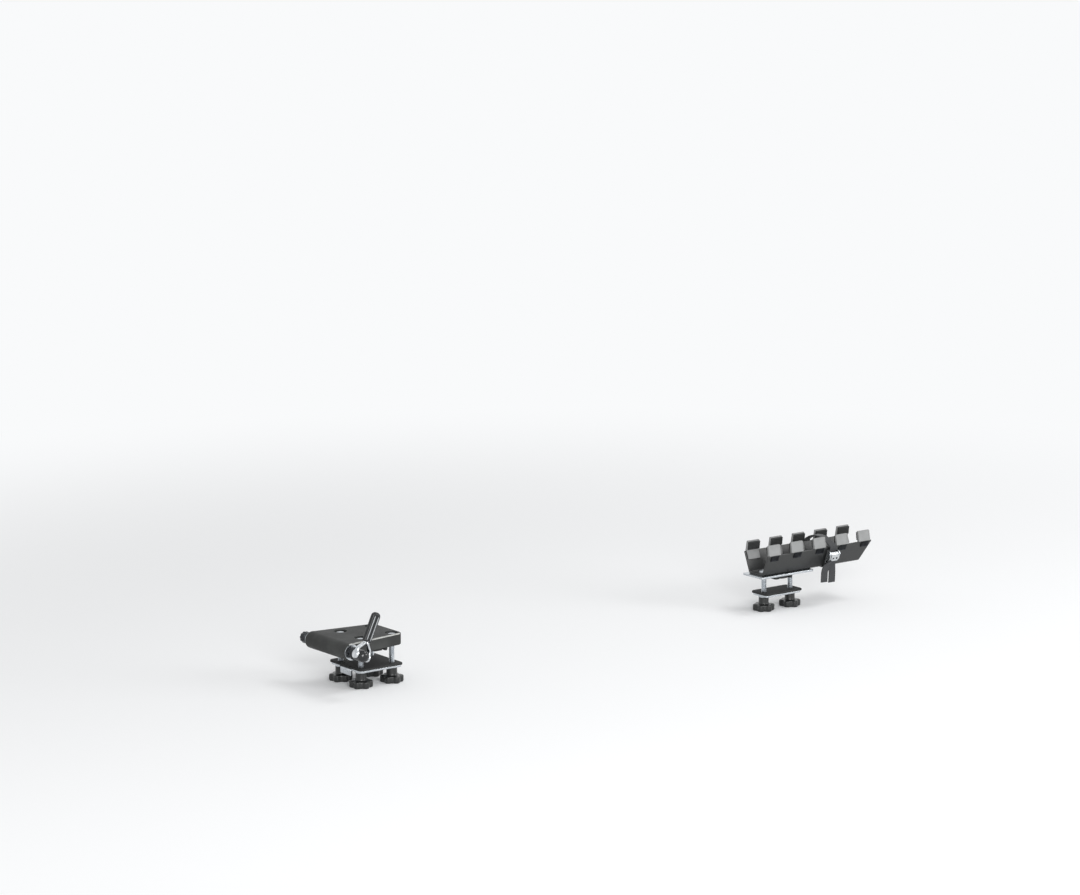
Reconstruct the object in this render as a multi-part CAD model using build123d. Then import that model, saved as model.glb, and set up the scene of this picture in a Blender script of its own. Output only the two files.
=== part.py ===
from build123d import *
import math
import os

# Roof-mounted bike carrier: a fork block on the front roof bar and a wheel cradle on the rear one.
# Millimetres. +X runs along the roof bars, +Y to the rear of the car, +Z up.
# The origin is the middle of the front block's seat, on the top of the front roof bar.

# Roof bars and the clamp stack that holds each unit on its bar
BAR_PITCH = 755.0          # front bar to rear bar
BAR_HEIGHT = 20.0          # bar room between the seat and the clamp liner
BOLT_ROW = 26.0            # bolt rows, before and behind the bar's middle line
BAR_PAD_THICK = 5.0
BAR_PAD_CORNER = 3.0
BAR_PAD_GROOVE = 1.5
BAR_PAD_GROOVE_Y = 8.0
LINER_THICK = 3.0
LINER_LIP = 2.0            # the liner stands out past the plate by this much
PLATE_THICK = 3.0
PLATE_MARGIN = 9.0         # plate past the bolt rows
PLATE_CORNER = 5.0
WASHER_THICK = 1.6
WASHER_R = 8.0
LIP_DROP = 8.0             # turned-down stiffening lips of the front plate
LIP_WIDTH = 26.0
LIP_BEND_R = 2.0

# Carriage bolts and knobs
BOLT_R = 4.0
BOLT_HEAD_R = 8.5
BOLT_HEAD_H = 4.0
BOLT_NECK_H = 4.0
BOLT_TIP = 0.8             # chamfer at a bolt's end
ROUND_SHARE = 0.8          # of a head's or bridge's thickness, rounded off at its top
BOLT_END_ROOM = 3.0        # free depth in the knob below the bolt's end
HOLE_GAP = 0.5             # bolt in a plate or pad
RUN_GAP = 0.05             # turning and screwed pieces
FACE_GAP = 0.3             # moving faces that don't bear
KNOB_R = 17.0
KNOB_LOBES = 6
KNOB_LOBE_R = 5.0
KNOB_WEB_SHARE = 0.35      # how far the disc fills the space between lobes
KNOB_VALLEY_R = 2.0
KNOB_DISC_H = 10.0
KNOB_FLOOR = 2.6
KNOB_NECK_R = 7.5
KNOB_NECK_H = 11.0
KNOB_EDGE_R = 1.5
INSERT_R = 5.5
INSERT_LEN = 12.0

# Fork block
FORK_SPACING = 100.0       # between the two dropout faces
BARREL_R = 12.0
END_WASHER_THICK = 1.5
END_WASHER_R = 11.0
SLEEVE_R = 5.0
BLOCK_THICK = 17.0
BLOCK_BOLT_X = 25.0
AXLE_AHEAD = 58.0          # axle line ahead of the bar's middle line
BLOCK_REAR_Y = 38.0
BLOCK_REAR_HALF = 35.0
BLOCK_CORNER_R = 8.0
BLOCK_EDGE_R = 1.8
BARREL_EDGE_R = 1.0
RECESS_R = 9.4
RECESS_DEPTH = 5.0
FRONT_PAD_X = 60.0
BAR_PAD_Y = 34.0
FRONT_PLATE_HALF_X = 38.0
POCKET_X = 24.0            # moulding pockets under the block, behind the barrel
POCKET_Y = 9.0
POCKET_DEPTH = 9.0
POCKET_WALL = 4.0          # between two pockets
STUD_R = 2.0
STUD_HOLE = 4.0
STUD_LIFT = 0.5
STUD_Y = 10.0
STUD_FRONT_X = 33.5
STUD_REAR_X = 19.5

# Quick release
DROPOUT_ROOM = 6.0
ROD_R = 2.5
ROD_TIP = 0.6
CUP_THICK = 6.0
CUP_R = 9.0
CUP_CHAMFER = 1.0
HEAD_R = 8.5
HEAD_LEN = 22.0
HEAD_DOME = 7.0
PIN_FROM_CUP = 11.0
PIN_R = 4.0
CAM_R = 3.1
CAM_OFFSET = 0.75
CAM_WIDTH = 4.4
EYE_HALF = 5.6
EYE_PLAY = 0.35            # cam in the rod's eye, along the rod
LEVER_LEAN = 25.0          # degrees, from upright towards the rear
CHEEK_THICK = 3.5
CHEEK_R = 6.5
CHEEK_WIDTH = 8.0
BRIDGE_Z = 11.6
BRIDGE_THICK = 6.0
ARM_Y = 9.0
ARM_X = 4.0
GRIP_START = 20.0
LEVER_LEN = 63.0
TANG_SHORT = 8.0           # the tang ends this much before the grip's end
GRIP_Y = 13.5
GRIP_X = 7.5
GRIP_END_R = 5.0
GRIP_EDGE_R = 1.5
GRIP_RIB_H = 0.8
GRIP_RIB_W = 2.4
GRIP_RIB_Y = 3.2
GRIP_RIB_FROM = 2.0        # past the grip's start
GRIP_RIB_SHORT = 6.0       # before the grip's end
GRIP_RIB_ROOT = 0.5        # how deep a rib is rooted
NUT_R = 8.5
NUT_LEN = 13.0
NUT_SIDES = 6
NUT_COLLAR = 4.0           # the nut's round part
ROD_TAIL = 3.0

# Wheel cradle
TROUGH_FRONT = 42.0        # ahead of the rear bar's middle line
TROUGH_REAR_TOP = 166.0    # behind it, at the wall's top edge
TROUGH_REAR_SLANT = 15.0
TROUGH_HEIGHT = 32.0
TROUGH_TOP_HALF = 28.5
TROUGH_FLOOR_HALF = 15.5
SHEET = 2.5
TROUGH_BEND_R = 2.0
NECK_GAP = 0.1             # square bolt neck in the trough's floor
BASE_THICK = 3.0
BASE_HALF_X = 23.0
BASE_FRONT = 49.0
BASE_REAR = 54.0
BASE_CORNER = 3.0
REAR_PAD_X = 34.0
REAR_PLATE_HALF_X = 17.0
TAB_COUNT = 5
TAB_PITCH = 45.0
TAB_FIRST = -28.0
TAB_WIDTH = 23.0
TAB_RISE = 16.0
TAB_THICK = 3.6
TAB_FOOT_THICK = 2.1       # inside the wall, at its top edge
TAB_LEG_THICK = 2.0        # at the leg's lower end
TAB_LEAN = 3.0
TAB_LEG = 12.0
TAB_EDGE_R = 2.0
GRIP_PAD_THICK = 2.4
GRIP_PAD_MARGIN = 1.5
GRIP_PAD_SIDE = 0.5
GRIP_PAD_BEVEL = 1.0
CLIP_WIDTH = 15.0
CLIP_HEIGHT = 8.0
CLIP_THICK = 1.2
CLIP_DROP = 0.5            # below the wall's top edge

# Strap and buckle
STRAP_Y = 84.5             # behind the rear bar's middle line, between the third and fourth tabs
STRAP_WIDTH = 13.0
WEB = 1.6                  # the webbing's thickness
WEB_GAP = 0.3              # webbing clear of what it lies on
ARCH_HALF = 13.0           # the strap's flat top over the rim
ARCH_RISE = 12.0           # above the walls
ARCH_TURN_R = 6.0
WALL_TURN_R = 4.0          # bends over the walls' edges and under the floor's far edge
SEWN_TURN_R = 3.0
NEAR_FOOT = 2.0            # the strap turns up this far outside the floor's near edge
FAR_FOOT = 1.8
FAR_TOP_OUT = 0.6          # extra room beside the far wall's top edge
FAR_TOP_UP = 1.5
NEAR_TOP_UP = 1.0
TAIL_LEAVE = 6.5           # above the sewn bar, where the tail starts to lean out
TAIL_DOWN = 0.5            # below it, where the tail hangs straight again
TAIL_END_Z = -12.0
TAIL_SET = 3.8             # the tail hangs this much further out than the strap's upper run
SPARE_BACK = 16.5          # the spare end hangs this much ahead of the tail
SPARE_TOP_Z = 13.0
SPARE_TURN_Z = 3.0
SPARE_END_Z = -10.0
SPARE_FOLD_Y = 2.0         # the fold starts this far ahead of the tail's middle
SPARE_FOLD_LAP = 4.7       # fold and hanging part run into each other by this much
BUCKLE_OUT = 1.5           # back plate clear of the wall's top edge
BUCKLE_TOP = 5.0           # below the wall's top edge
LEAN_SHARE = 0.72          # of the wall's lean, for the strap's near run and the buckle
BUCKLE_BACK_H = 15.0
BUCKLE_BACK_THICK = 1.4
BUCKLE_CHEEK = 2.0
CHEEK_GAP = 1.0            # webbing to cheek
BUCKLE_DEPTH = 10.0
ANCHOR_R = 1.6
ANCHOR_ARM = 2.6
BUCKLE_PIN_R = 1.5
BUCKLE_PIN_DROP = 4.5
BUCKLE_PIN_HEAD = 1.0
BUCKLE_PIN_LIP = 0.9       # the heads stand out past the pin by this much
CAM_HUB_R = 3.8
THUMB_THICK = 2.6
THUMB_LEN = 10.2           # below the pin
THUMB_HOLE_R = 1.5
THUMB_HOLE_Y = 3.4
THUMB_HOLE_DROP = 5.5
THUMB_CORNER_R = 3.0
THUMB_SIDE_GAP = 0.5       # hub and plate to the cheeks
SPRING_OUT_R = 2.7
SPRING_WIRE = 0.8
SPRING_LEN = 5.2
SPRING_GAP = 0.25

# Modelling aids
PAST = 1.0                 # cuts run this far past the surface they leave
TOUCH = 0.1                # how near counts as the same place when an edge is picked

# Levels and places that follow from the sizes above
BLOCK_BOTTOM = BAR_PAD_THICK
BLOCK_TOP = BLOCK_BOTTOM + BLOCK_THICK
AXLE_Z = BLOCK_TOP - BARREL_R
AXLE_Y = -AXLE_AHEAD
BARREL_HALF = FORK_SPACING / 2 - END_WASHER_THICK
LINER_TOP = -BAR_HEIGHT
WALL_LEAN = (TROUGH_TOP_HALF - TROUGH_FLOOR_HALF) / TROUGH_HEIGHT
SKEW = SHEET * math.sqrt(1 + WALL_LEAN ** 2)    # the leaning wall's thickness, measured level
PLATE_TOP = LINER_TOP - LINER_THICK
PLATE_BOTTOM = PLATE_TOP - PLATE_THICK
KNOB_TOP = PLATE_BOTTOM - WASHER_THICK
KNOB_BOTTOM = KNOB_TOP - KNOB_NECK_H - KNOB_DISC_H
BOLT_END = KNOB_BOTTOM + KNOB_FLOOR + BOLT_END_ROOM
BASE_BOTTOM = BAR_PAD_THICK
TROUGH_BOTTOM = BASE_BOTTOM + BASE_THICK
TROUGH_FLOOR = TROUGH_BOTTOM + SHEET
TROUGH_TOP = TROUGH_BOTTOM + TROUGH_HEIGHT
CUP_FACE = FORK_SPACING / 2 + DROPOUT_ROOM
HEAD_START = CUP_FACE + CUP_THICK
PIN_X = HEAD_START + PIN_FROM_CUP
STRAP_FACE = TROUGH_TOP_HALF + BUCKLE_OUT + BUCKLE_BACK_THICK + WEB_GAP
BUCKLE_TOP_Z = TROUGH_TOP - BUCKLE_TOP
BUCKLE_PIN_Z = BUCKLE_TOP_Z - BUCKLE_PIN_DROP
BUCKLE_PIN_X = STRAP_FACE + WEB + WEB_GAP + CAM_HUB_R
ANCHOR_X = TROUGH_TOP_HALF + BUCKLE_OUT + BUCKLE_BACK_THICK / 2
SEWN_LOOP_R = ANCHOR_R + WEB_GAP / 2
ANCHOR_Z = BUCKLE_TOP_Z - BUCKLE_BACK_H - SEWN_LOOP_R - WEB - WEB_GAP
LEAN_X = STRAP_FACE + WEB / 2
LEAN_Z = TROUGH_TOP + NEAR_TOP_UP
BUCKLE_LEAN = math.degrees(math.atan(WALL_LEAN)) * LEAN_SHARE
FRONT_BOLTS = [(x, y) for y in (-BOLT_ROW, BOLT_ROW) for x in (-BLOCK_BOLT_X, BLOCK_BOLT_X)]
REAR_BOLTS = [(0.0, BAR_PITCH - BOLT_ROW), (0.0, BAR_PITCH + BOLT_ROW)]


def block_between(low, high):
    """A box from its lowest to its highest corner."""
    size = [b - a for a, b in zip(low, high)]
    return Pos(*low) * Box(*size, align=(Align.MIN, Align.MIN, Align.MIN))


def upright(radius, bottom, top, x=0.0, y=0.0):
    """A vertical cylinder between two levels."""
    return Pos(x, y, bottom) * Cylinder(radius, top - bottom, align=(Align.CENTER, Align.CENTER, Align.MIN))


def along_x(radius, start, end, y=0.0, z=0.0):
    """A cylinder along X between two places."""
    turned = Rot(Y=90) * Cylinder(radius, end - start, align=(Align.CENTER, Align.CENTER, Align.MIN))
    return Pos(start, y, z) * turned


def along_y(radius, start, end, x=0.0, z=0.0):
    """A cylinder along Y between two places."""
    turned = Rot(X=-90) * Cylinder(radius, end - start, align=(Align.CENTER, Align.CENTER, Align.MIN))
    return Pos(x, start, z) * turned


def across_y(points, start, end):
    """A section of (x, z) points pushed along Y."""
    face = make_face(Polyline(*[(x, 0, z) for x, z in points], close=True))
    return Pos(0, start, 0) * extrude(face, end - start, dir=(0, 1, 0))


def across_x(points, start, end):
    """A section of (y, z) points pushed along X."""
    face = make_face(Polyline(*[(0, y, z) for y, z in points], close=True))
    return Pos(start, 0, 0) * extrude(face, end - start, dir=(1, 0, 0))


def one(shape):
    """The single solid of a shape made by fusing or cutting."""
    solids = shape.solids()
    return solids[0] if len(solids) == 1 else Compound(children=list(solids))


def carriage_bolt(x, y, seat):
    """A round-headed bolt with a square neck, its head's underside at the level seat."""
    head = upright(BOLT_HEAD_R, seat, seat + BOLT_HEAD_H, x, y)
    head = fillet(head.edges().group_by(Axis.Z)[-1], BOLT_HEAD_H * ROUND_SHARE)
    neck = Pos(x, y, seat - BOLT_NECK_H / 2) * Box(2 * BOLT_R, 2 * BOLT_R, BOLT_NECK_H)
    shank = upright(BOLT_R, BOLT_END, seat, x, y)
    shank = chamfer(shank.edges().group_by(Axis.Z)[0], BOLT_TIP)
    return one(head + neck + shank)


def knob(x, y):
    """A lobed hand knob with a neck, and a blind bore from above for its insert and the bolt."""
    disc_top = KNOB_BOTTOM + KNOB_DISC_H
    lobe_ring = KNOB_R - KNOB_LOBE_R
    outline = Circle(lobe_ring + KNOB_LOBE_R * KNOB_WEB_SHARE)
    for i in range(KNOB_LOBES):
        turn = math.radians(360 * i / KNOB_LOBES)
        outline += Pos(lobe_ring * math.cos(turn), lobe_ring * math.sin(turn)) * Circle(KNOB_LOBE_R)
    outline = fillet(outline.vertices(), KNOB_VALLEY_R)
    disc = Pos(0, 0, KNOB_BOTTOM) * extrude(outline, KNOB_DISC_H)
    disc = fillet(disc.edges().group_by(Axis.Z)[0] + disc.edges().group_by(Axis.Z)[-1], KNOB_EDGE_R)
    body = disc + upright(KNOB_NECK_R, disc_top - PAST, KNOB_TOP)
    body -= upright(INSERT_R, KNOB_TOP - INSERT_LEN, KNOB_TOP)
    body -= upright(BOLT_R + HOLE_GAP, KNOB_BOTTOM + KNOB_FLOOR, KNOB_TOP)
    return Pos(x, y, 0) * one(body)


def knob_insert(x, y):
    """The threaded sleeve moulded into a knob, its thread drawn smooth."""
    return one(upright(INSERT_R, KNOB_TOP - INSERT_LEN, KNOB_TOP, x, y)
               - upright(BOLT_R + RUN_GAP, KNOB_TOP - INSERT_LEN, KNOB_TOP, x, y))


def washer(x, y):
    """A flat washer between a clamp plate and a knob."""
    return one(upright(WASHER_R, KNOB_TOP, PLATE_BOTTOM, x, y)
               - upright(BOLT_R + HOLE_GAP, KNOB_TOP, PLATE_BOTTOM, x, y))


def rounded_plate(half_x, half_y, bottom, top, corner, y=0.0):
    """A flat plate with rounded corners."""
    return Pos(0, y, bottom) * extrude(RectangleRounded(2 * half_x, 2 * half_y, corner), top - bottom)


def drilled(plate, bolts, radius, bottom, top):
    """A plate with a hole for each bolt."""
    for x, y in bolts:
        plate -= upright(radius, bottom, top, x, y)
    return plate


def clamp_plate(half_x, bolts, y, lips):
    """The pressed lower plate, with turned-down lips between the knobs where it is wide."""
    half_y = BOLT_ROW + PLATE_MARGIN
    plate = rounded_plate(half_x, half_y, PLATE_BOTTOM, PLATE_TOP, PLATE_CORNER, y)
    if lips:
        for side in (-1, 1):
            edge = side * half_y
            inner = edge - side * PLATE_THICK
            lip = block_between((-LIP_WIDTH / 2, min(edge, inner), PLATE_BOTTOM - LIP_DROP),
                                (LIP_WIDTH / 2, max(edge, inner), PLATE_BOTTOM))
            lip = fillet(lip.edges().filter_by(Axis.Y).group_by(Axis.Z)[0], LIP_BEND_R)
            plate += lip
    return one(drilled(plate, bolts, BOLT_R + HOLE_GAP, PLATE_BOTTOM, PLATE_TOP))


def clamp_liner(half_x, bolts, y):
    """The rubber sheet on the lower plate, which the roof bar's underside bears on."""
    half_y = BOLT_ROW + PLATE_MARGIN + LINER_LIP
    liner = rounded_plate(half_x + LINER_LIP, half_y, PLATE_TOP, LINER_TOP, PLATE_CORNER + LINER_LIP, y)
    return one(drilled(liner, bolts, BOLT_R + HOLE_GAP, PLATE_TOP, LINER_TOP))


def bar_pad(length, y):
    """The grooved rubber seat that rests on the roof bar's top."""
    pad = rounded_plate(length / 2, BAR_PAD_Y / 2, 0, BAR_PAD_THICK, BAR_PAD_CORNER, y)
    for side in (-1, 1):
        groove_y = y + side * BAR_PAD_GROOVE_Y
        pad -= block_between((-length, groove_y - BAR_PAD_GROOVE, 0),
                             (length, groove_y + BAR_PAD_GROOVE, BAR_PAD_GROOVE))
    return one(pad)


def pad_studs(x, y, top):
    """Two small rubber stop studs beside the seat, pressed into holes above them."""
    return [upright(STUD_R, STUD_LIFT, top, side * x, y + STUD_Y) for side in (-1, 1)]


def fork_block():
    """The moulded block: a tapered body, with a barrel along its front edge for the fork's skewer."""
    corners = [(-BARREL_HALF, AXLE_Y), (BARREL_HALF, AXLE_Y), (BLOCK_REAR_HALF, BLOCK_REAR_Y),
               (-BLOCK_REAR_HALF, BLOCK_REAR_Y)]
    outline = make_face(Polyline(*corners, close=True))
    body = Pos(0, 0, BLOCK_BOTTOM) * extrude(outline, BLOCK_THICK)
    body = fillet(body.edges().filter_by(Axis.Z).group_by(Axis.Y)[-1], BLOCK_CORNER_R)
    rims = body.faces().sort_by(Axis.Z)[-1].edges() + body.faces().sort_by(Axis.Z)[0].edges()
    body = fillet([e for e in rims if e.center().Y > AXLE_Y + TOUCH], BLOCK_EDGE_R)
    barrel = along_x(BARREL_R, -BARREL_HALF, BARREL_HALF, AXLE_Y, AXLE_Z)
    barrel = fillet(barrel.edges().filter_by(GeomType.CIRCLE), BARREL_EDGE_R)
    body += barrel
    body -= along_x(SLEEVE_R, -BARREL_HALF, BARREL_HALF, AXLE_Y, AXLE_Z)
    for x, y in FRONT_BOLTS:
        body -= upright(RECESS_R, BLOCK_TOP - RECESS_DEPTH, BLOCK_TOP, x, y)
        neck_end = BLOCK_TOP - RECESS_DEPTH - BOLT_NECK_H
        body -= upright(BOLT_R * math.sqrt(2) + RUN_GAP, neck_end, BLOCK_TOP, x, y)
        body -= upright(BOLT_R + HOLE_GAP, BLOCK_BOTTOM, BLOCK_TOP, x, y)
    front = AXLE_Y + BARREL_R
    for side in (-1, 0, 1):
        middle = side * (POCKET_X + POCKET_WALL)
        body -= block_between((middle - POCKET_X / 2, front, BLOCK_BOTTOM),
                              (middle + POCKET_X / 2, front + POCKET_Y, BLOCK_BOTTOM + POCKET_DEPTH))
    for side in (-1, 1):
        body -= upright(STUD_R, BLOCK_BOTTOM, BLOCK_BOTTOM + STUD_HOLE, side * STUD_FRONT_X, STUD_Y)
    return one(body)


def barrel_end_washers():
    """The steel rings on the barrel's ends, which the dropouts bear on."""
    rings = []
    for side in (-1, 1):
        start = min(side * BARREL_HALF, side * FORK_SPACING / 2)
        end = start + END_WASHER_THICK
        ring = along_x(END_WASHER_R, start, end, AXLE_Y, AXLE_Z)
        rings.append(one(ring - along_x(ROD_R + HOLE_GAP, start, end, AXLE_Y, AXLE_Z)))
    return rings


def axle_sleeve():
    """The steel tube that lines the barrel and guides the skewer."""
    return one(along_x(SLEEVE_R, -BARREL_HALF, BARREL_HALF, AXLE_Y, AXLE_Z)
               - along_x(ROD_R + RUN_GAP, -BARREL_HALF, BARREL_HALF, AXLE_Y, AXLE_Z))


def on_axle(shape):
    """Turn a piece drawn about the origin with an upright lever to the lever's lean, on the axle."""
    return Pos(0, AXLE_Y, AXLE_Z) * Rot(X=-LEVER_LEAN) * shape


def cam_head():
    """The quick release's housing, domed at its outer end, bored for the lever's cam shaft."""
    head = along_x(HEAD_R, HEAD_START, HEAD_START + HEAD_LEN)
    head = fillet(head.edges().filter_by(GeomType.CIRCLE).sort_by(Axis.X)[-1], HEAD_DOME)
    room = EYE_HALF + FACE_GAP
    side = CAM_WIDTH / 2 + FACE_GAP
    travel = 2 * CAM_OFFSET
    head -= block_between((PIN_X - room - travel, -side, -room), (PIN_X + room, side, room))
    head -= along_x(ROD_R + RUN_GAP, HEAD_START, PIN_X)
    head -= along_y(PIN_R + RUN_GAP, -HEAD_R - PAST, HEAD_R + PAST, PIN_X)
    return on_axle(one(head))


def thrust_cup():
    """The steel cup behind the near dropout, with a step that centres the housing."""
    cup = along_x(CUP_R, CUP_FACE, HEAD_START)
    cup = chamfer(cup.edges().filter_by(GeomType.CIRCLE).sort_by(Axis.X)[-1], CUP_CHAMFER)
    cup -= along_x(ROD_R + HOLE_GAP, CUP_FACE, HEAD_START)
    return on_axle(one(cup))


def skewer_rod():
    """The through rod, with an eye at its lever end that the cam draws along."""
    eye = block_between((PIN_X - EYE_HALF, -CAM_WIDTH / 2, -EYE_HALF),
                        (PIN_X + EYE_HALF, CAM_WIDTH / 2, EYE_HALF))
    slot_x = CAM_R + EYE_PLAY
    slot_z = CAM_R + CAM_OFFSET + FACE_GAP
    eye -= block_between((PIN_X + CAM_OFFSET - slot_x, -CAM_WIDTH, -slot_z),
                         (PIN_X + CAM_OFFSET + slot_x, CAM_WIDTH, slot_z))
    tail = -(FORK_SPACING / 2 + DROPOUT_ROOM + NUT_LEN + ROD_TAIL)
    rod = along_x(ROD_R, tail, PIN_X + CAM_OFFSET - slot_x)
    rod = chamfer(rod.edges().filter_by(GeomType.CIRCLE).sort_by(Axis.X)[0], ROD_TIP)
    return on_axle(one(rod + eye))


def cam_shaft():
    """The lever's shaft, with the eccentric cam at its middle."""
    reach = HEAD_R + FACE_GAP + CHEEK_THICK
    half = CAM_WIDTH / 2 + FACE_GAP
    shaft = along_y(PIN_R, -reach, -half, PIN_X) + along_y(PIN_R, half, reach, PIN_X)
    shaft += along_y(CAM_R, -half, half, PIN_X + CAM_OFFSET)
    return on_axle(one(shaft))


def lever_yoke():
    """The bright forked lever arm: two cheeks on the cam shaft, a bridge, and the tang inside the grip."""
    inner = HEAD_R + FACE_GAP
    outer = inner + CHEEK_THICK
    yoke = None
    for side in (-1, 1):
        start = min(side * inner, side * outer)
        cheek = along_y(CHEEK_R, start, start + CHEEK_THICK, PIN_X)
        cheek += block_between((PIN_X - CHEEK_WIDTH / 2, start, 0),
                               (PIN_X + CHEEK_WIDTH / 2, start + CHEEK_THICK, BRIDGE_Z + BRIDGE_THICK))
        yoke = cheek if yoke is None else yoke + cheek
    bridge = block_between((PIN_X - CHEEK_WIDTH / 2, -outer, BRIDGE_Z),
                           (PIN_X + CHEEK_WIDTH / 2, outer, BRIDGE_Z + BRIDGE_THICK))
    yoke += bridge
    top_edges = yoke.edges().filter_by(Axis.X).group_by(Axis.Z)[-1]
    yoke = fillet(top_edges, BRIDGE_THICK * ROUND_SHARE)
    yoke += block_between((PIN_X - ARM_X / 2, -ARM_Y / 2, BRIDGE_Z + PAST),
                          (PIN_X + ARM_X / 2, ARM_Y / 2, LEVER_LEN - TANG_SHORT))
    yoke -= along_y(PIN_R, -outer, outer, PIN_X)
    return on_axle(one(yoke))


def lever_grip():
    """The black handle on the tang, with two ribs along each broad face and a rounded end."""
    half_y = GRIP_Y / 2
    half_x = GRIP_X / 2
    grip = block_between((PIN_X - half_x, -half_y, GRIP_START), (PIN_X + half_x, half_y, LEVER_LEN))
    grip = fillet(grip.edges().filter_by(Axis.X).group_by(Axis.Z)[-1], GRIP_END_R)
    grip = fillet(grip.edges().filter_by(Axis.Z), GRIP_EDGE_R)
    for side in (-1, 1):
        for row in (-GRIP_RIB_Y, GRIP_RIB_Y):
            root = PIN_X + side * (half_x - GRIP_RIB_ROOT)
            crest = PIN_X + side * (half_x + GRIP_RIB_H)
            grip += block_between((min(root, crest), row - GRIP_RIB_W / 2, GRIP_START + GRIP_RIB_FROM),
                                  (max(root, crest), row + GRIP_RIB_W / 2, LEVER_LEN - GRIP_RIB_SHORT))
    grip -= block_between((PIN_X - ARM_X / 2, -ARM_Y / 2, GRIP_START),
                          (PIN_X + ARM_X / 2, ARM_Y / 2, LEVER_LEN - TANG_SHORT))
    return on_axle(one(grip))


def skewer_nut():
    """The nut at the far end, round at its bearing face and faceted outside."""
    face = -(FORK_SPACING / 2 + DROPOUT_ROOM)
    collar = along_x(NUT_R, face - NUT_COLLAR, face)
    hexagon = Rot(Y=90) * extrude(RegularPolygon(NUT_R, NUT_SIDES), NUT_LEN - NUT_COLLAR)
    nut = collar + Pos(face - NUT_LEN, 0, 0) * hexagon
    nut -= along_x(ROD_R + RUN_GAP, face - NUT_LEN, face)
    return on_axle(one(nut))


def wall_x(z):
    """The outer face of the cradle's wall at a level."""
    return TROUGH_FLOOR_HALF + (z - TROUGH_BOTTOM) * WALL_LEAN


def trough():
    """The open channel that the tyre lies in: a floor and two flared walls, slanted off at the rear."""
    outer = [(-TROUGH_FLOOR_HALF, TROUGH_BOTTOM), (TROUGH_FLOOR_HALF, TROUGH_BOTTOM),
             (TROUGH_TOP_HALF, TROUGH_TOP)]
    inner = [(TROUGH_TOP_HALF - SKEW, TROUGH_TOP), (wall_x(TROUGH_FLOOR) - SKEW, TROUGH_FLOOR)]
    section = outer + inner + [(-x, z) for x, z in reversed(inner)] + [(-TROUGH_TOP_HALF, TROUGH_TOP)]
    front = BAR_PITCH - TROUGH_FRONT
    rear = BAR_PITCH + TROUGH_REAR_TOP
    channel = across_y(section, front, rear)
    bends = [e for e in channel.edges().filter_by(Axis.Y) if e.center().Z < TROUGH_BOTTOM + TOUCH]
    channel = fillet(bends, TROUGH_BEND_R)
    wedge = [(rear - TROUGH_REAR_SLANT, TROUGH_BOTTOM), (rear + PAST, TROUGH_BOTTOM),
             (rear + PAST, TROUGH_TOP), (rear, TROUGH_TOP)]
    channel -= across_x(wedge, -TROUGH_TOP_HALF - PAST, TROUGH_TOP_HALF + PAST)
    neck = 2 * (BOLT_R + NECK_GAP)
    for x, y in REAR_BOLTS:
        channel -= Pos(x, y, (TROUGH_BOTTOM + TROUGH_FLOOR) / 2) * Box(neck, neck, SHEET + 2 * PAST)
    return one(channel)


def base_plate():
    """The flat steel plate between the trough and the bar pad."""
    middle = BAR_PITCH + (BASE_REAR - BASE_FRONT) / 2
    half_y = (BASE_FRONT + BASE_REAR) / 2
    plate = rounded_plate(BASE_HALF_X, half_y, BASE_BOTTOM, TROUGH_BOTTOM, BASE_CORNER, middle)
    plate = drilled(plate, REAR_BOLTS, BOLT_R * math.sqrt(2) + RUN_GAP, BASE_BOTTOM, TROUGH_BOTTOM)
    for side in (-1, 1):
        plate -= upright(STUD_R, BASE_BOTTOM, TROUGH_BOTTOM, side * STUD_REAR_X, BAR_PITCH + STUD_Y)
    return one(plate)


def tab_middle(index):
    """A tab's place along the trough."""
    return BAR_PITCH + TAB_FIRST + index * TAB_PITCH


def mirrored(shape, side):
    """A piece drawn on the near side, or its mirror image on the far side."""
    return shape if side > 0 else mirror(shape, about=Plane.YZ)


def tab(index, side):
    """A grey upstand on the wall's top edge, leaning in over the tyre, with a leg down inside the wall."""
    edge = TROUGH_TOP_HALF
    top = TROUGH_TOP + TAB_RISE
    leg_z = TROUGH_TOP - TAB_LEG
    inner_wall = wall_x(leg_z) - SKEW
    section = [(edge, TROUGH_TOP), (edge - TAB_LEAN, top), (edge - TAB_LEAN - TAB_THICK, top),
               (edge - SKEW - TAB_FOOT_THICK, TROUGH_TOP), (inner_wall - TAB_LEG_THICK, leg_z),
               (inner_wall, leg_z), (edge - SKEW, TROUGH_TOP)]
    middle = tab_middle(index)
    piece = across_y(section, middle - TAB_WIDTH / 2, middle + TAB_WIDTH / 2)
    corners = [e for e in piece.edges() if e.center().Z > top - TOUCH and abs(e.tangent_at(0.5).Y) < 0.5]
    piece = fillet(corners, TAB_EDGE_R)
    return mirrored(one(piece), side)


def tab_grip(index, side):
    """The black rubber pad on a tab's inner face."""
    face_low = TROUGH_TOP_HALF - SKEW - TAB_FOOT_THICK
    face_high = TROUGH_TOP_HALF - TAB_LEAN - TAB_THICK
    low = TROUGH_TOP + GRIP_PAD_MARGIN
    high = TROUGH_TOP + TAB_RISE - GRIP_PAD_MARGIN

    def face_x(z):
        return face_low + (face_high - face_low) * (z - TROUGH_TOP) / TAB_RISE

    section = [(face_x(low), low), (face_x(high), high),
               (face_x(high) - GRIP_PAD_THICK, high - GRIP_PAD_BEVEL),
               (face_x(low) - GRIP_PAD_THICK, low + GRIP_PAD_BEVEL)]
    middle = tab_middle(index)
    half = TAB_WIDTH / 2 - GRIP_PAD_SIDE
    return mirrored(across_y(section, middle - half, middle + half), side)


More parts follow.
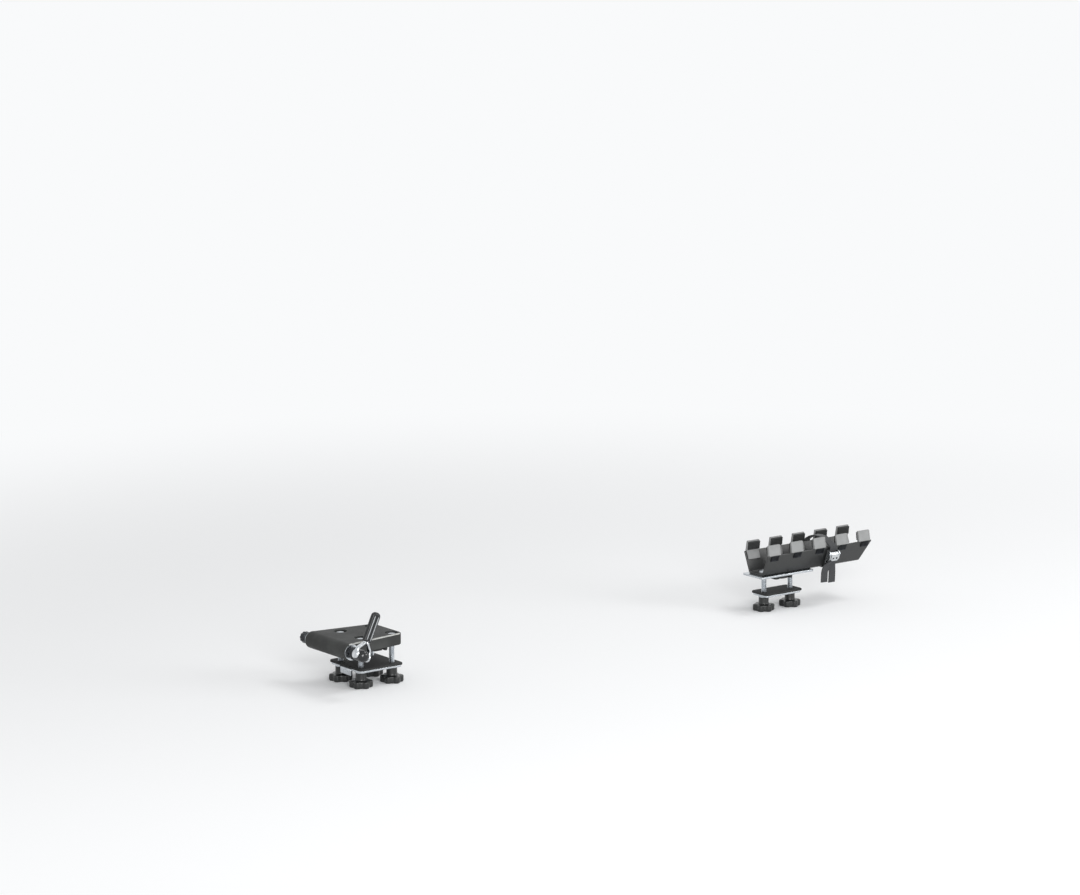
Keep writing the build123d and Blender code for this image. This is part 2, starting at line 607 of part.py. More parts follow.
def tab_clip(index, side):
    """The black spring clip on the wall's outer face below a tab."""
    high = TROUGH_TOP - CLIP_DROP
    low = high - CLIP_HEIGHT
    section = [(wall_x(low), low), (wall_x(low) + CLIP_THICK, low),
               (wall_x(high) + CLIP_THICK, high), (wall_x(high), high)]
    middle = tab_middle(index)
    return mirrored(across_y(section, middle - CLIP_WIDTH / 2, middle + CLIP_WIDTH / 2), side)


def leant(x, z):
    """Where a place of the upright buckle goes as the buckle leans in with the wall."""
    turn = math.radians(BUCKLE_LEAN)
    out, up = x - LEAN_X, z - LEAN_Z
    return (LEAN_X + out * math.cos(turn) + up * math.sin(turn),
            LEAN_Z - out * math.sin(turn) + up * math.cos(turn))


def leaning(shape):
    """A piece of the upright buckle, leaning in with the wall."""
    return one(Pos(LEAN_X, 0, LEAN_Z) * Rot(Y=BUCKLE_LEAN) * Pos(-LEAN_X, 0, -LEAN_Z) * shape)


def tail_top():
    """Where the strap's tail has left the buckle and starts to hang straight."""
    return leant(LEAN_X + TAIL_SET, ANCHOR_Z - TAIL_DOWN)


def swept_web(route, radii, width):
    """Flat webbing along a route of (x, z) points with rounded bends, at the strap's place."""
    start = BAR_PITCH + STRAP_Y
    path = FilletPolyline(*[(x, start, z) for x, z in route], radius=radii)
    section = Plane(origin=path @ 0, z_dir=path % 0, x_dir=(0, 1, 0)) * Rectangle(width, WEB)
    return sweep(section, path=path)


def strap():
    """The webbing: sewn round the buckle's bar, under the floor, over the rim and down through the buckle."""
    floor_z = TROUGH_BOTTOM - WEB_GAP - WEB / 2
    near_foot = (TROUGH_FLOOR_HALF + NEAR_FOOT, floor_z)
    far_foot = (-(TROUGH_FLOOR_HALF + FAR_FOOT), floor_z)
    far_top = (-(TROUGH_TOP_HALF + WEB_GAP + WEB / 2 + FAR_TOP_OUT), TROUGH_TOP + FAR_TOP_UP)
    arch_z = TROUGH_TOP + ARCH_RISE + WEB / 2
    sewn_x, sewn_z = leant(ANCHOR_X, ANCHOR_Z)
    off_x, off_z = near_foot[0] - sewn_x, near_foot[1] - sewn_z
    share = (SEWN_LOOP_R + WEB / 2) / math.hypot(off_x, off_z)
    tail_x, tail_z = tail_top()
    route = [(sewn_x - off_z * share, sewn_z + off_x * share), near_foot,
             far_foot, far_top, (-ARCH_HALF, arch_z), (ARCH_HALF, arch_z),
             (LEAN_X, LEAN_Z), leant(LEAN_X, ANCHOR_Z + TAIL_LEAVE),
             (tail_x, tail_z), (tail_x, TAIL_END_Z)]
    radii = [SEWN_TURN_R, WALL_TURN_R, WALL_TURN_R, ARCH_TURN_R, ARCH_TURN_R, WALL_TURN_R,
             ARCH_TURN_R, ARCH_TURN_R]
    web = swept_web(route, radii, STRAP_WIDTH)
    start = BAR_PITCH + STRAP_Y - STRAP_WIDTH / 2
    loop = along_y(SEWN_LOOP_R + WEB, start, start + STRAP_WIDTH, sewn_x, sewn_z)
    bore = along_y(SEWN_LOOP_R, start, start + STRAP_WIDTH, sewn_x, sewn_z)
    return one(web + loop - bore)


def ribbon(y0, z0, y1, z1, width, x_low):
    """A flat run of webbing between two places, facing the near side."""
    length = math.hypot(y1 - y0, z1 - z0)
    side_y = -(z1 - z0) / length * width / 2
    side_z = (y1 - y0) / length * width / 2
    corners = [(y0 + side_y, z0 + side_z), (y1 + side_y, z1 + side_z), (y1 - side_y, z1 - side_z),
               (y0 - side_y, z0 - side_z)]
    return across_x(corners, x_low, x_low + WEB)


def strap_spare_end():
    """The spare webbing: folded forward off the tail, then hanging beside it."""
    middle = BAR_PITCH + STRAP_Y
    x_low = tail_top()[0] + WEB / 2 + WEB_GAP
    hang_y = middle - SPARE_BACK
    fold = ribbon(middle - SPARE_FOLD_Y, SPARE_TOP_Z, hang_y, SPARE_TURN_Z, STRAP_WIDTH, x_low)
    hang = ribbon(hang_y, SPARE_TURN_Z + SPARE_FOLD_LAP, hang_y, SPARE_END_Z, STRAP_WIDTH, x_low)
    return one(fold + hang)


def buckle_frame():
    """The pressed buckle frame: a back plate, two cheeks, and the bar that the strap's end is sewn round."""
    middle = BAR_PITCH + STRAP_Y
    inner = STRAP_WIDTH / 2 + CHEEK_GAP
    outer = inner + BUCKLE_CHEEK
    back = TROUGH_TOP_HALF + BUCKLE_OUT
    low = BUCKLE_TOP_Z - BUCKLE_BACK_H
    frame = block_between((back, middle - outer, low),
                          (back + BUCKLE_BACK_THICK, middle + outer, BUCKLE_TOP_Z))
    for side in (-1, 1):
        start = middle + min(side * inner, side * outer)
        cheek = block_between((back, start, low), (back + BUCKLE_DEPTH, start + BUCKLE_CHEEK, BUCKLE_TOP_Z))
        front_edges = cheek.edges().filter_by(Axis.Y).group_by(Axis.X)[-1]
        cheek = fillet(front_edges, CAM_HUB_R)
        arm = block_between((ANCHOR_X - ANCHOR_ARM / 2, start, ANCHOR_Z - ANCHOR_R),
                            (ANCHOR_X + ANCHOR_ARM / 2, start + BUCKLE_CHEEK, low + PAST))
        frame += cheek + arm
    frame += along_y(ANCHOR_R, middle - outer, middle + outer, ANCHOR_X, ANCHOR_Z)
    frame -= along_y(BUCKLE_PIN_R, middle - outer - PAST, middle + outer + PAST, BUCKLE_PIN_X, BUCKLE_PIN_Z)
    return leaning(frame)


def buckle_pin():
    """The pin across the cheeks that the thumb lever turns on, with a head at each end."""
    middle = BAR_PITCH + STRAP_Y
    half = STRAP_WIDTH / 2 + CHEEK_GAP + BUCKLE_CHEEK
    pin = along_y(BUCKLE_PIN_R, middle - half, middle + half, BUCKLE_PIN_X, BUCKLE_PIN_Z)
    for start in (middle - half - BUCKLE_PIN_HEAD, middle + half):
        pin += along_y(BUCKLE_PIN_R + BUCKLE_PIN_LIP, start, start + BUCKLE_PIN_HEAD,
                       BUCKLE_PIN_X, BUCKLE_PIN_Z)
    return leaning(pin)


def buckle_lever():
    """The cam buckle's thumb lever: a round hub that grips the webbing, and a plate with two holes."""
    middle = BAR_PITCH + STRAP_Y
    half = STRAP_WIDTH / 2 + CHEEK_GAP - THUMB_SIDE_GAP
    outer_x = BUCKLE_PIN_X + CAM_HUB_R
    low = BUCKLE_PIN_Z - THUMB_LEN
    plate = block_between((outer_x - THUMB_THICK, middle - half, low), (outer_x, middle + half, BUCKLE_PIN_Z))
    plate = fillet(plate.edges().filter_by(Axis.X).group_by(Axis.Z)[0], THUMB_CORNER_R)
    lever = along_y(CAM_HUB_R, middle - half, middle + half, BUCKLE_PIN_X, BUCKLE_PIN_Z) + plate
    lever -= along_y(BUCKLE_PIN_R + RUN_GAP, middle - half, middle + half, BUCKLE_PIN_X, BUCKLE_PIN_Z)
    room = SPRING_LEN / 2 + SPRING_GAP
    lever -= along_y(SPRING_OUT_R + SPRING_GAP, middle - room, middle + room, BUCKLE_PIN_X, BUCKLE_PIN_Z)
    for side in (-1, 1):
        lever -= along_x(THUMB_HOLE_R, outer_x - THUMB_THICK - PAST, outer_x + PAST,
                         middle + side * THUMB_HOLE_Y, BUCKLE_PIN_Z - THUMB_HOLE_DROP)
    return leaning(lever)


def buckle_spring():
    """The return spring round the pin, inside the lever's hub, drawn as the sleeve its coils fill."""
    start = BAR_PITCH + STRAP_Y - SPRING_LEN / 2
    coil = along_y(SPRING_OUT_R, start, start + SPRING_LEN, BUCKLE_PIN_X, BUCKLE_PIN_Z)
    bore = along_y(SPRING_OUT_R - SPRING_WIRE, start, start + SPRING_LEN, BUCKLE_PIN_X, BUCKLE_PIN_Z)
    return leaning(coil - bore)


def parts():
    """Every piece, by its name."""
    made = {}
    made["fork_block"] = fork_block()
    made["axle_sleeve"] = axle_sleeve()
    made["barrel_end_washers"] = barrel_end_washers()
    made["cam_head"] = cam_head()
    made["thrust_cup"] = thrust_cup()
    made["skewer_rod"] = skewer_rod()
    made["cam_shaft"] = cam_shaft()
    made["lever_yoke"] = lever_yoke()
    made["lever_grip"] = lever_grip()
    made["skewer_nut"] = skewer_nut()
    made["block_bolts"] = [carriage_bolt(x, y, BLOCK_TOP - RECESS_DEPTH) for x, y in FRONT_BOLTS]
    made["front_bar_pad"] = bar_pad(FRONT_PAD_X, 0.0)
    made["front_stop_studs"] = pad_studs(STUD_FRONT_X, 0.0, BLOCK_BOTTOM + STUD_HOLE)
    made["front_clamp_plate"] = clamp_plate(FRONT_PLATE_HALF_X, FRONT_BOLTS, 0.0, True)
    made["front_clamp_liner"] = clamp_liner(FRONT_PLATE_HALF_X, FRONT_BOLTS, 0.0)
    made["front_plate_washers"] = [washer(x, y) for x, y in FRONT_BOLTS]
    for number, (x, y) in enumerate(FRONT_BOLTS, 1):
        made[f"front_knob_{number}"] = knob(x, y)
        made[f"front_knob_insert_{number}"] = knob_insert(x, y)
    made["trough"] = trough()
    made["base_plate"] = base_plate()
    made["trough_bolts"] = [carriage_bolt(x, y, TROUGH_FLOOR) for x, y in REAR_BOLTS]
    made["rear_bar_pad"] = bar_pad(REAR_PAD_X, BAR_PITCH)
    made["rear_stop_studs"] = pad_studs(STUD_REAR_X, BAR_PITCH, TROUGH_BOTTOM)
    made["rear_clamp_plate"] = clamp_plate(REAR_PLATE_HALF_X, REAR_BOLTS, BAR_PITCH, False)
    made["rear_clamp_liner"] = clamp_liner(REAR_PLATE_HALF_X, REAR_BOLTS, BAR_PITCH)
    made["rear_plate_washers"] = [washer(x, y) for x, y in REAR_BOLTS]
    for number, (x, y) in enumerate(REAR_BOLTS, 1):
        made[f"rear_knob_{number}"] = knob(x, y)
        made[f"rear_knob_insert_{number}"] = knob_insert(x, y)
    for side, name in ((1, "near"), (-1, "far")):
        for index in range(TAB_COUNT):
            made[f"{name}_tab_{index + 1}"] = tab(index, side)
        made[f"{name}_tab_grips"] = [tab_grip(index, side) for index in range(TAB_COUNT)]
        made[f"{name}_tab_clips"] = [tab_clip(index, side) for index in range(TAB_COUNT)]
    made["strap"] = strap()
    made["strap_spare_end"] = strap_spare_end()
    made["buckle_frame"] = buckle_frame()
    made["buckle_pin"] = buckle_pin()
    made["buckle_lever"] = buckle_lever()
    made["buckle_spring"] = buckle_spring()
    return made


def save(made):
    """Write one STEP file for each piece, or group of like pieces."""
    os.makedirs("parts", exist_ok=True)
    for name, shape in made.items():
        whole = Compound(children=list(shape)) if isinstance(shape, list) else shape
        export_step(whole, f"parts/{name}.step")


save(parts())
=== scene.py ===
"""Looks of a roof-mounted bike carrier: a fork block and a wheel cradle, dressed around the fixed frame.

Metres throughout. +X runs along the roof bars, +Y to the rear of the car and +Z up.
"""
import logging
import math
from abc import ABC, abstractmethod
from dataclasses import dataclass, field
from enum import Enum
from typing import Callable, Iterable, Optional, Sequence, Union

import bmesh
import bpy
from mathutils import Matrix, Vector


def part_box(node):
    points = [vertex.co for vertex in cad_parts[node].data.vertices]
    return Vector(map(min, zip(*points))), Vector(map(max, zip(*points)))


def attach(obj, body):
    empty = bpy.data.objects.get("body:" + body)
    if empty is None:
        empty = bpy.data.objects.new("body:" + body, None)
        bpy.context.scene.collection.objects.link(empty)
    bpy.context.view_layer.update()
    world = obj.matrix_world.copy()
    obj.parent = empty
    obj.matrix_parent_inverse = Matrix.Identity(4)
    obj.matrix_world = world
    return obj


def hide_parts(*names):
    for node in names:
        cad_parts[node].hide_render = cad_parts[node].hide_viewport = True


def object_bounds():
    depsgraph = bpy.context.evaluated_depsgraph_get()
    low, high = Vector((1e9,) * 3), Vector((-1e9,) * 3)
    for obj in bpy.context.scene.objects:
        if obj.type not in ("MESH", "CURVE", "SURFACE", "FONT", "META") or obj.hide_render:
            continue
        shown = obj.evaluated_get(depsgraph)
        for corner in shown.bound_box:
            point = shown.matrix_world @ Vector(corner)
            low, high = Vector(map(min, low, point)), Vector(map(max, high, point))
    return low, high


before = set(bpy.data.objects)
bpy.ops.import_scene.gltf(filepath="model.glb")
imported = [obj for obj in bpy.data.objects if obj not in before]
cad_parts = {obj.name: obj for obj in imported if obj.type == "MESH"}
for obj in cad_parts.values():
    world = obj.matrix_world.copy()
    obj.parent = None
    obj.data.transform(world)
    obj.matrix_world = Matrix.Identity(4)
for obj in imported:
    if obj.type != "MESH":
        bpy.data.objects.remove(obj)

LOG = logging.getLogger("bike_carrier")
MM = 0.001
TURN = 2.0 * math.pi
QUARTER = TURN / 4.0
CAD_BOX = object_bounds()

# The turn of one run of an arc, the turn below which an edge is smooth, the millimetres within which
# points merge, the runs across a rounded edge, and the degrees that such an edge turns at least
ARC_STEP = math.radians(12.0)
SMOOTH_BELOW = math.radians(35.0)
MERGE = 0.002
EDGE_RUNS = 3
EDGE_TURN = 50.0
# The least cosine of half a bend that a route's thickness is kept round, and a small post's sides
BEND_LIMIT = 0.5
POST_SIDES = 24
# How far a rounded normal turns from the true one where wear starts and where it is full
WEAR_STARTS, WEAR_FULL = 0.03125, 0.25
WEB_MAP = "webbing"

Flat = tuple[float, float]
Point = tuple[float, float, float]
Hole = tuple[float, float, float]
Level = Callable[[float], float]
Key = Union[str, int]
Mesh = bpy.types.Mesh
Object = bpy.types.Object
Tree = bpy.types.NodeTree
Node = bpy.types.Node
Socket = bpy.types.NodeSocket


# Colours, nodes and finishes


def linear(hex_colour: str) -> tuple[float, float, float, float]:
    """Turns an sRGB hex colour into the linear colour of the shader, by the standard's own numbers.

    Args:
        hex_colour: The colour as "#rrggbb".

    Returns:
        Red, green, blue and an alpha of one.
    """
    shares = [int(hex_colour[i:i + 2], 16) / 255.0 for i in (1, 3, 5)]
    red, green, blue = [s / 12.92 if s <= 0.04045 else ((s + 0.055) / 1.055) ** 2.4 for s in shares]
    return red, green, blue, 1.0


def add_node(tree: Tree, kind: str, settings: Optional[dict[Key, object]] = None,
             links: Optional[dict[Key, Socket]] = None) -> Node:
    """Adds a shader node with its settings and its links.

    Args:
        tree: The node tree that takes the node.
        kind: Blender's name for the node's type.
        settings: Values by attribute name, or by an input's name or number.
        links: Output sockets by the name or number of the input that they feed.

    Returns:
        The new node.
    """
    node = tree.nodes.new(kind)
    for key, value in (settings or {}).items():
        if isinstance(key, str) and hasattr(node, key):
            setattr(node, key, value)
        else:
            node.inputs[key].default_value = value
    for key, source in (links or {}).items():
        tree.links.new(source, node.inputs[key])
    return node


class Process(Enum):
    """How a moulded surface was made, with its gloss as a share of the finish's roughness."""

    SPARK_TEXTURED = 1.0
    POLISHED_MOULD = 0.72
    CAST_RUBBER = 1.15


@dataclass(frozen=True)
class Finish(ABC):
    """One finish of the carrier, made once and shared by its pieces."""

    label: str
    slot: str
    colour: str
    roughness: float

    def material(self) -> bpy.types.Material:
        """Gives the finish's material, which is made the first time.

        Returns:
            The material named after the finish.
        """
        found = bpy.data.materials.get(self.label)
        if found is not None:
            return found
        made = bpy.data.materials.new(self.label)
        made.use_nodes = True
        tree = made.node_tree
        tree.nodes.clear()
        shader = add_node(tree, "ShaderNodeBsdfPrincipled", {"Roughness": self.roughness})
        add_node(tree, "ShaderNodeOutputMaterial", links={"Surface": shader.outputs["BSDF"]})
        self.wire(tree, shader)
        made.diffuse_color = linear(self.colour)
        return made

    @abstractmethod
    def wire(self, tree: Tree, shader: Node) -> None:
        """Wires the pattern of the finish into its shader.

        Args:
            tree: The material's node tree.
            shader: The Principled shader.
        """

    def patches(self, tree: Tree, place: Socket, size_mm: float, span: Flat, values: Flat,
                detail: float = 3.0) -> Socket:
        """Finds soft patches, such as clouds, dust or dulled places.

        Args:
            tree: The material's node tree.
            place: Where a point lies on its object.
            size_mm: The size of a patch.
            span: Where in the noise's range a patch starts and where it is full.
            values: What the patches give outside and inside.
            detail: How finely their outline is broken.

        Returns:
            A socket that goes from the first value to the second.
        """
        noise = add_node(tree, "ShaderNodeTexNoise", {"Scale": 1.0 / (size_mm * MM), "Detail": detail},
                         {"Vector": place})
        patch = add_node(tree, "ShaderNodeMapRange", {"From Min": span[0], "From Max": span[1],
                                                      "To Min": values[0], "To Max": values[1]},
                         {"Value": noise.outputs["Fac"]})
        return patch.outputs["Result"]

    def toned(self, tree: Tree, second: str, share: Socket) -> Socket:
        """Mixes a second colour into the finish's own.

        Args:
            tree: The material's node tree.
            second: The second colour.
            share: How much of it shows, from 0 to 1.

        Returns:
            The mixed colour.
        """
        mixed = add_node(tree, "ShaderNodeMix", {"data_type": "RGBA", 6: linear(self.colour),
                                                 7: linear(second)}, {0: share})
        return mixed.outputs[2]

    def worn(self, tree: Tree, colour: Socket, pale: str, edge_mm: float,
             share: float) -> Socket:
        """Rubs edges pale, found by how far a rounded normal turns from the true one.

        Args:
            tree: The material's node tree.
            colour: The colour away from the edges.
            pale: The colour of the wear.
            edge_mm: How far from an edge the wear reaches.
            share: How much of it shows where it is full.

        Returns:
            The colour with its worn edges.
        """
        eased = add_node(tree, "ShaderNodeBevel", {"samples": 4, "Radius": edge_mm * MM})
        true = add_node(tree, "ShaderNodeNewGeometry")
        facing = add_node(tree, "ShaderNodeVectorMath", {"operation": "DOT_PRODUCT"},
                          {0: eased.outputs["Normal"], 1: true.outputs["Normal"]})
        rubbed = add_node(tree, "ShaderNodeMapRange", {"From Min": 1.0 - WEAR_FULL,
                                                       "From Max": 1.0 - WEAR_STARTS, "To Min": share,
                                                       "To Max": 0.0}, {"Value": facing.outputs["Value"]})
        mixed = add_node(tree, "ShaderNodeMix", {"data_type": "RGBA", 7: linear(pale)},
                         {0: rubbed.outputs["Result"], 6: colour})
        return mixed.outputs[2]

    def surface(self, tree: Tree, shader: Node, colour: Socket, relief: Socket,
                depth_mm: float, strength: float) -> None:
        """Gives the shader its colour and its relief.

        Args:
            tree: The material's node tree.
            shader: The Principled shader.
            colour: The surface's colour.
            relief: Its height, from 0 to 1.
            depth_mm: The relief's depth.
            strength: How much the relief turns the light.
        """
        bump = add_node(tree, "ShaderNodeBump", {"Strength": strength, "Distance": depth_mm * MM},
                        {"Height": relief})
        tree.links.new(colour, shader.inputs["Base Color"])
        tree.links.new(bump.outputs["Normal"], shader.inputs["Normal"])


@dataclass(frozen=True)
class MouldedPlastic(Finish):
    """Injection-moulded plastic: a fine grain from the mould, soft flow clouds and paler rubbed edges."""

    pale: str
    grain_mm: float = 0.9
    grain_depth_mm: float = 0.05
    grain_gloss: Flat = (-0.05, 0.07)
    cloud_mm: float = 26.0
    cloud_share: float = 0.22
    edge_mm: float = 0.7
    edge_share: float = 0.35
    ior: float = 1.5
    process: Process = Process.SPARK_TEXTURED

    def wire(self, tree: Tree, shader: Node) -> None:
        """Wires the grain, the clouds and the rubbed edges.

        Args:
            tree: The material's node tree.
            shader: The Principled shader.
        """
        place = add_node(tree, "ShaderNodeTexCoord").outputs["Object"]
        grain = add_node(tree, "ShaderNodeTexNoise", {"Scale": 1.0 / (self.grain_mm * MM), "Detail": 2.0,
                                                      "Roughness": 0.6}, {"Vector": place})
        clouds = self.patches(tree, place, self.cloud_mm, (0.42, 0.72), (0.0, self.cloud_share))
        colour = self.worn(tree, self.toned(tree, self.pale, clouds), self.pale, self.edge_mm,
                           self.edge_share)
        dull, duller = [self.roughness * self.process.value + change for change in self.grain_gloss]
        rough = add_node(tree, "ShaderNodeMapRange",
                         {"From Min": 0.3, "From Max": 0.7, "To Min": dull, "To Max": duller},
                         {"Value": grain.outputs["Fac"]})
        shader.inputs["IOR"].default_value = self.ior
        tree.links.new(rough.outputs["Result"], shader.inputs["Roughness"])
        self.surface(tree, shader, colour, grain.outputs["Fac"], self.grain_depth_mm, strength=0.6)


@dataclass(frozen=True)
class HighlitEdgePlastic(MouldedPlastic):
    """Moulded plastic of the tapered block, with a painted highlight along the rounding of its two long top
    edges.
    """

    # The painted highlight: its colour, its share, the size of the patches that break it up, and how many
    # roundings in from the edge it starts and is full
    painted_highlight: str = "#b4b5b2"
    highlight_share: float = 0.85
    highlight_patch_mm: float = 7.0
    highlight_reach: Flat = (1.1, 0.7)
    rounding_mm: float = 1.8
    half_width_mm: float = 40.344
    taper: float = 0.140625
    top_mm: float = 22.0

    def wire(self, tree: Tree, shader: Node) -> None:
        """Wires the moulded surface, then the painted highlight lines over its colour.

        Args:
            tree: The material's node tree.
            shader: The Principled shader.
        """
        super().wire(tree, shader)
        moulded = shader.inputs["Base Color"].links[0].from_socket
        place = add_node(tree, "ShaderNodeTexCoord").outputs["Object"]
        axes = add_node(tree, "ShaderNodeSeparateXYZ", links={0: place})
        side = add_node(tree, "ShaderNodeMath", {"operation": "ABSOLUTE"}, {0: axes.outputs["X"]})
        across = add_node(tree, "ShaderNodeMath", {"operation": "MULTIPLY_ADD", 1: self.taper},
                          {0: axes.outputs["Y"], 2: side.outputs[0]})
        outward = add_node(tree, "ShaderNodeMath", {"operation": "ADD"},
                           {0: across.outputs[0], 1: axes.outputs["Z"]})
        # A painted highlight along the rounding of the two long top edges, broken up into patches
        corner = self.half_width_mm + self.top_mm
        start, full = [(corner - reach * self.rounding_mm) * MM for reach in self.highlight_reach]
        line = add_node(tree, "ShaderNodeMapRange", {"interpolation_type": "SMOOTHSTEP", "From Min": start,
                                                     "From Max": full, "To Max": self.highlight_share},
                        {"Value": outward.outputs[0]})
        broken = self.patches(tree, place, self.highlight_patch_mm, (0.3, 0.5), (0.6, 1.0), detail=2.0)
        mask = add_node(tree, "ShaderNodeMath", {"operation": "MULTIPLY"},
                        {0: line.outputs["Result"], 1: broken})
        colour = add_node(tree, "ShaderNodeMix", {"data_type": "RGBA", 7: linear(self.painted_highlight)},
                          {0: mask.outputs[0], 6: moulded})
        tree.links.new(colour.outputs[2], shader.inputs["Base Color"])


@dataclass(frozen=True)
class PowderCoat(Finish):
    """Powder-coated sheet steel: orange peel, fine dust, paler edges and a slightly polished film."""

    pale: str
    coat: float
    coat_roughness: float = 0.2
    peel_mm: float = 2.2
    peel_depth_mm: float = 0.03
    speck_mm: float = 0.5
    speck_share: float = 0.3
    edge_mm: float = 0.8
    edge_share: float = 0.5

    def wire(self, tree: Tree, shader: Node) -> None:
        """Wires the orange peel, the fine specks and the paler edges.

        Args:
            tree: The material's node tree.
            shader: The Principled shader.
        """
        place = add_node(tree, "ShaderNodeTexCoord").outputs["Object"]
        peel = add_node(tree, "ShaderNodeTexNoise", {"Scale": 1.0 / (self.peel_mm * MM), "Detail": 1.0},
                        {"Vector": place})
        specks = self.patches(tree, place, self.speck_mm, (0.52, 0.75), (0.0, self.speck_share), detail=1.0)
        colour = self.worn(tree, self.toned(tree, self.pale, specks), self.pale, self.edge_mm,
                           self.edge_share)
        shader.inputs["Coat Weight"].default_value = self.coat
        shader.inputs["Coat Roughness"].default_value = self.coat_roughness
        self.surface(tree, shader, colour, peel.outputs["Fac"], self.peel_depth_mm, strength=0.5)


@dataclass(frozen=True)
class PlatedMetal(Finish):
    """Plated or bare metal: fine drawn lines, dull patches and darker film where dirt gathers."""

    shade: str
    line_mm: float = 0.35
    line_stretch: float = 14.0
    line_depth_mm: float = 0.006
    patch_mm: float = 7.0
    dulling: float = 0.12

    def wire(self, tree: Tree, shader: Node) -> None:
        """Wires the drawn lines, the patches and their roughness.

        Args:
            tree: The material's node tree.
            shader: The Principled shader.
        """
        place = add_node(tree, "ShaderNodeTexCoord").outputs["Object"]
        fine = 1.0 / (self.line_mm * MM)
        stretched = add_node(tree, "ShaderNodeMapping", {"Scale": (fine, fine, fine / self.line_stretch)},
                             {"Vector": place})
        lines = add_node(tree, "ShaderNodeTexNoise", {"Scale": 1.0, "Detail": 1.0},
                         {"Vector": stretched.outputs["Vector"]})
        dull = self.patches(tree, place, self.patch_mm, (0.4, 0.7), (0.0, 1.0))
        rough = add_node(tree, "ShaderNodeMapRange", {"To Min": self.roughness,
                                                      "To Max": self.roughness + self.dulling},
                         {"Value": dull})
        shader.inputs["Metallic"].default_value = 1.0
        tree.links.new(rough.outputs["Result"], shader.inputs["Roughness"])
        self.surface(tree, shader, self.toned(tree, self.shade, dull), lines.outputs["Fac"],
                     self.line_depth_mm, strength=0.5)


@dataclass(frozen=True)
class WovenWebbing(Finish):
    """Polypropylene webbing: warp ribs along it, crossed by picks, drawn from its own length and width."""

    pale: str
    rib_mm: float = 1.35
    pick_mm: float = 1.5
    pick_low: float = 0.35
    weave_depth_mm: float = 0.28
    sheen: float = 0.15

    def wire(self, tree: Tree, shader: Node) -> None:
        """Wires a plain weave from the piece's own map, whose units are metres of webbing.

        Args:
            tree: The material's node tree.
            shader: The Principled shader.
        """
        flat = add_node(tree, "ShaderNodeUVMap", {"uv_map": WEB_MAP})
        axes = add_node(tree, "ShaderNodeSeparateXYZ", links={0: flat.outputs["UV"]})
        across = add_node(tree, "ShaderNodeMath", {"operation": "DIVIDE", 1: self.rib_mm * MM},
                          {0: axes.outputs["X"]})
        along = add_node(tree, "ShaderNodeMath", {"operation": "DIVIDE", 1: self.pick_mm * MM},
                         {0: axes.outputs["Y"]})
        rib = add_node(tree, "ShaderNodeMath", {"operation": "FLOOR"}, {0: across.outputs[0]})
        shifted = add_node(tree, "ShaderNodeMath", {"operation": "MULTIPLY_ADD", 1: 0.5},
                           {0: rib.outputs[0], 2: along.outputs[0]})
        turns = add_node(tree, "ShaderNodeMath", {"operation": "MULTIPLY", 1: TURN}, {0: shifted.outputs[0]})
        pick = add_node(tree, "ShaderNodeMath", {"operation": "SINE"}, {0: turns.outputs[0]})
        half_turns = add_node(tree, "ShaderNodeMath", {"operation": "MULTIPLY", 1: math.pi},
                              {0: across.outputs[0]})
        swell = add_node(tree, "ShaderNodeMath", {"operation": "SINE"}, {0: half_turns.outputs[0]})
        crown = add_node(tree, "ShaderNodeMath", {"operation": "ABSOLUTE"}, {0: swell.outputs[0]})
        lifted = add_node(tree, "ShaderNodeMapRange", {"From Min": -1.0, "To Min": self.pick_low},
                          {"Value": pick.outputs[0]})
        height = add_node(tree, "ShaderNodeMath", {"operation": "MULTIPLY"},
                          {0: crown.outputs[0], 1: lifted.outputs["Result"]}).outputs[0]
        shader.inputs["Sheen Weight"].default_value = self.sheen
        self.surface(tree, shader, self.toned(tree, self.pale, height), height, self.weave_depth_mm,
                     strength=0.9)


# Glass-filled nylon from a spark-textured mould: nearly black and dry, with paler edges that are partly wear
# and partly painted highlight, and a painted highlight line along its two long top edges.
NYLON = HighlitEdgePlastic("glass_filled_nylon_moulded", "moulded_black", "#2c2d2c", 0.55, pale="#5c5e5d",
                      edge_mm=1.1, edge_share=0.7, ior=1.3)
# Acetal of the skewer's housing from a polished mould: black, with hard white glints.
ACETAL = MouldedPlastic("acetal_moulded", "moulded_black", "#121314", 0.2, pale="#34373a", grain_mm=1.6,
                        grain_depth_mm=0.01, process=Process.POLISHED_MOULD)
# Polypropylene knobs from a smoother mould: black, with softer and brighter highlights.
KNOB_PLASTIC = MouldedPlastic("polypropylene_moulded", "knob_black", "#1a1b1b", 0.42, pale="#3c3e3e",
                              grain_mm=1.4, grain_depth_mm=0.03, process=Process.POLISHED_MOULD)
# Soft vinyl of the lever's grip: black and satin.
GRIP_VINYL = MouldedPlastic("vinyl_moulded", "grip_black", "#141516", 0.36, pale="#3d4042", ior=1.38,
                            grain_mm=0.8, grain_depth_mm=0.02)
# The same vinyl on the grip's ribs, smoother, and painted pale as the highlight along them.
RIB_HIGHLIGHT_VINYL = MouldedPlastic("vinyl_painted_highlight", "grip_black", "#85888a", 0.3, pale="#bcbfc1",
                              grain_mm=0.8, grain_depth_mm=0.01, cloud_mm=9.0)
# Thermoplastic rubber of the tabs: a flat mid grey with a dusty bloom.
TAB_RUBBER = MouldedPlastic("thermoplastic_rubber_moulded", "grey_moulded", "#828383", 0.62, pale="#999a9a",
                            grain_mm=1.1, grain_depth_mm=0.06, cloud_mm=12.0, process=Process.CAST_RUBBER)
# Cured black rubber of the bar seats, liners and grip pads: matt, with grey bloom on its edges.
BLACK_RUBBER = MouldedPlastic("black_rubber_cured", "black_rubber", "#161717", 0.68, pale="#37393a",
                              grain_mm=1.0, grain_depth_mm=0.05, process=Process.CAST_RUBBER)
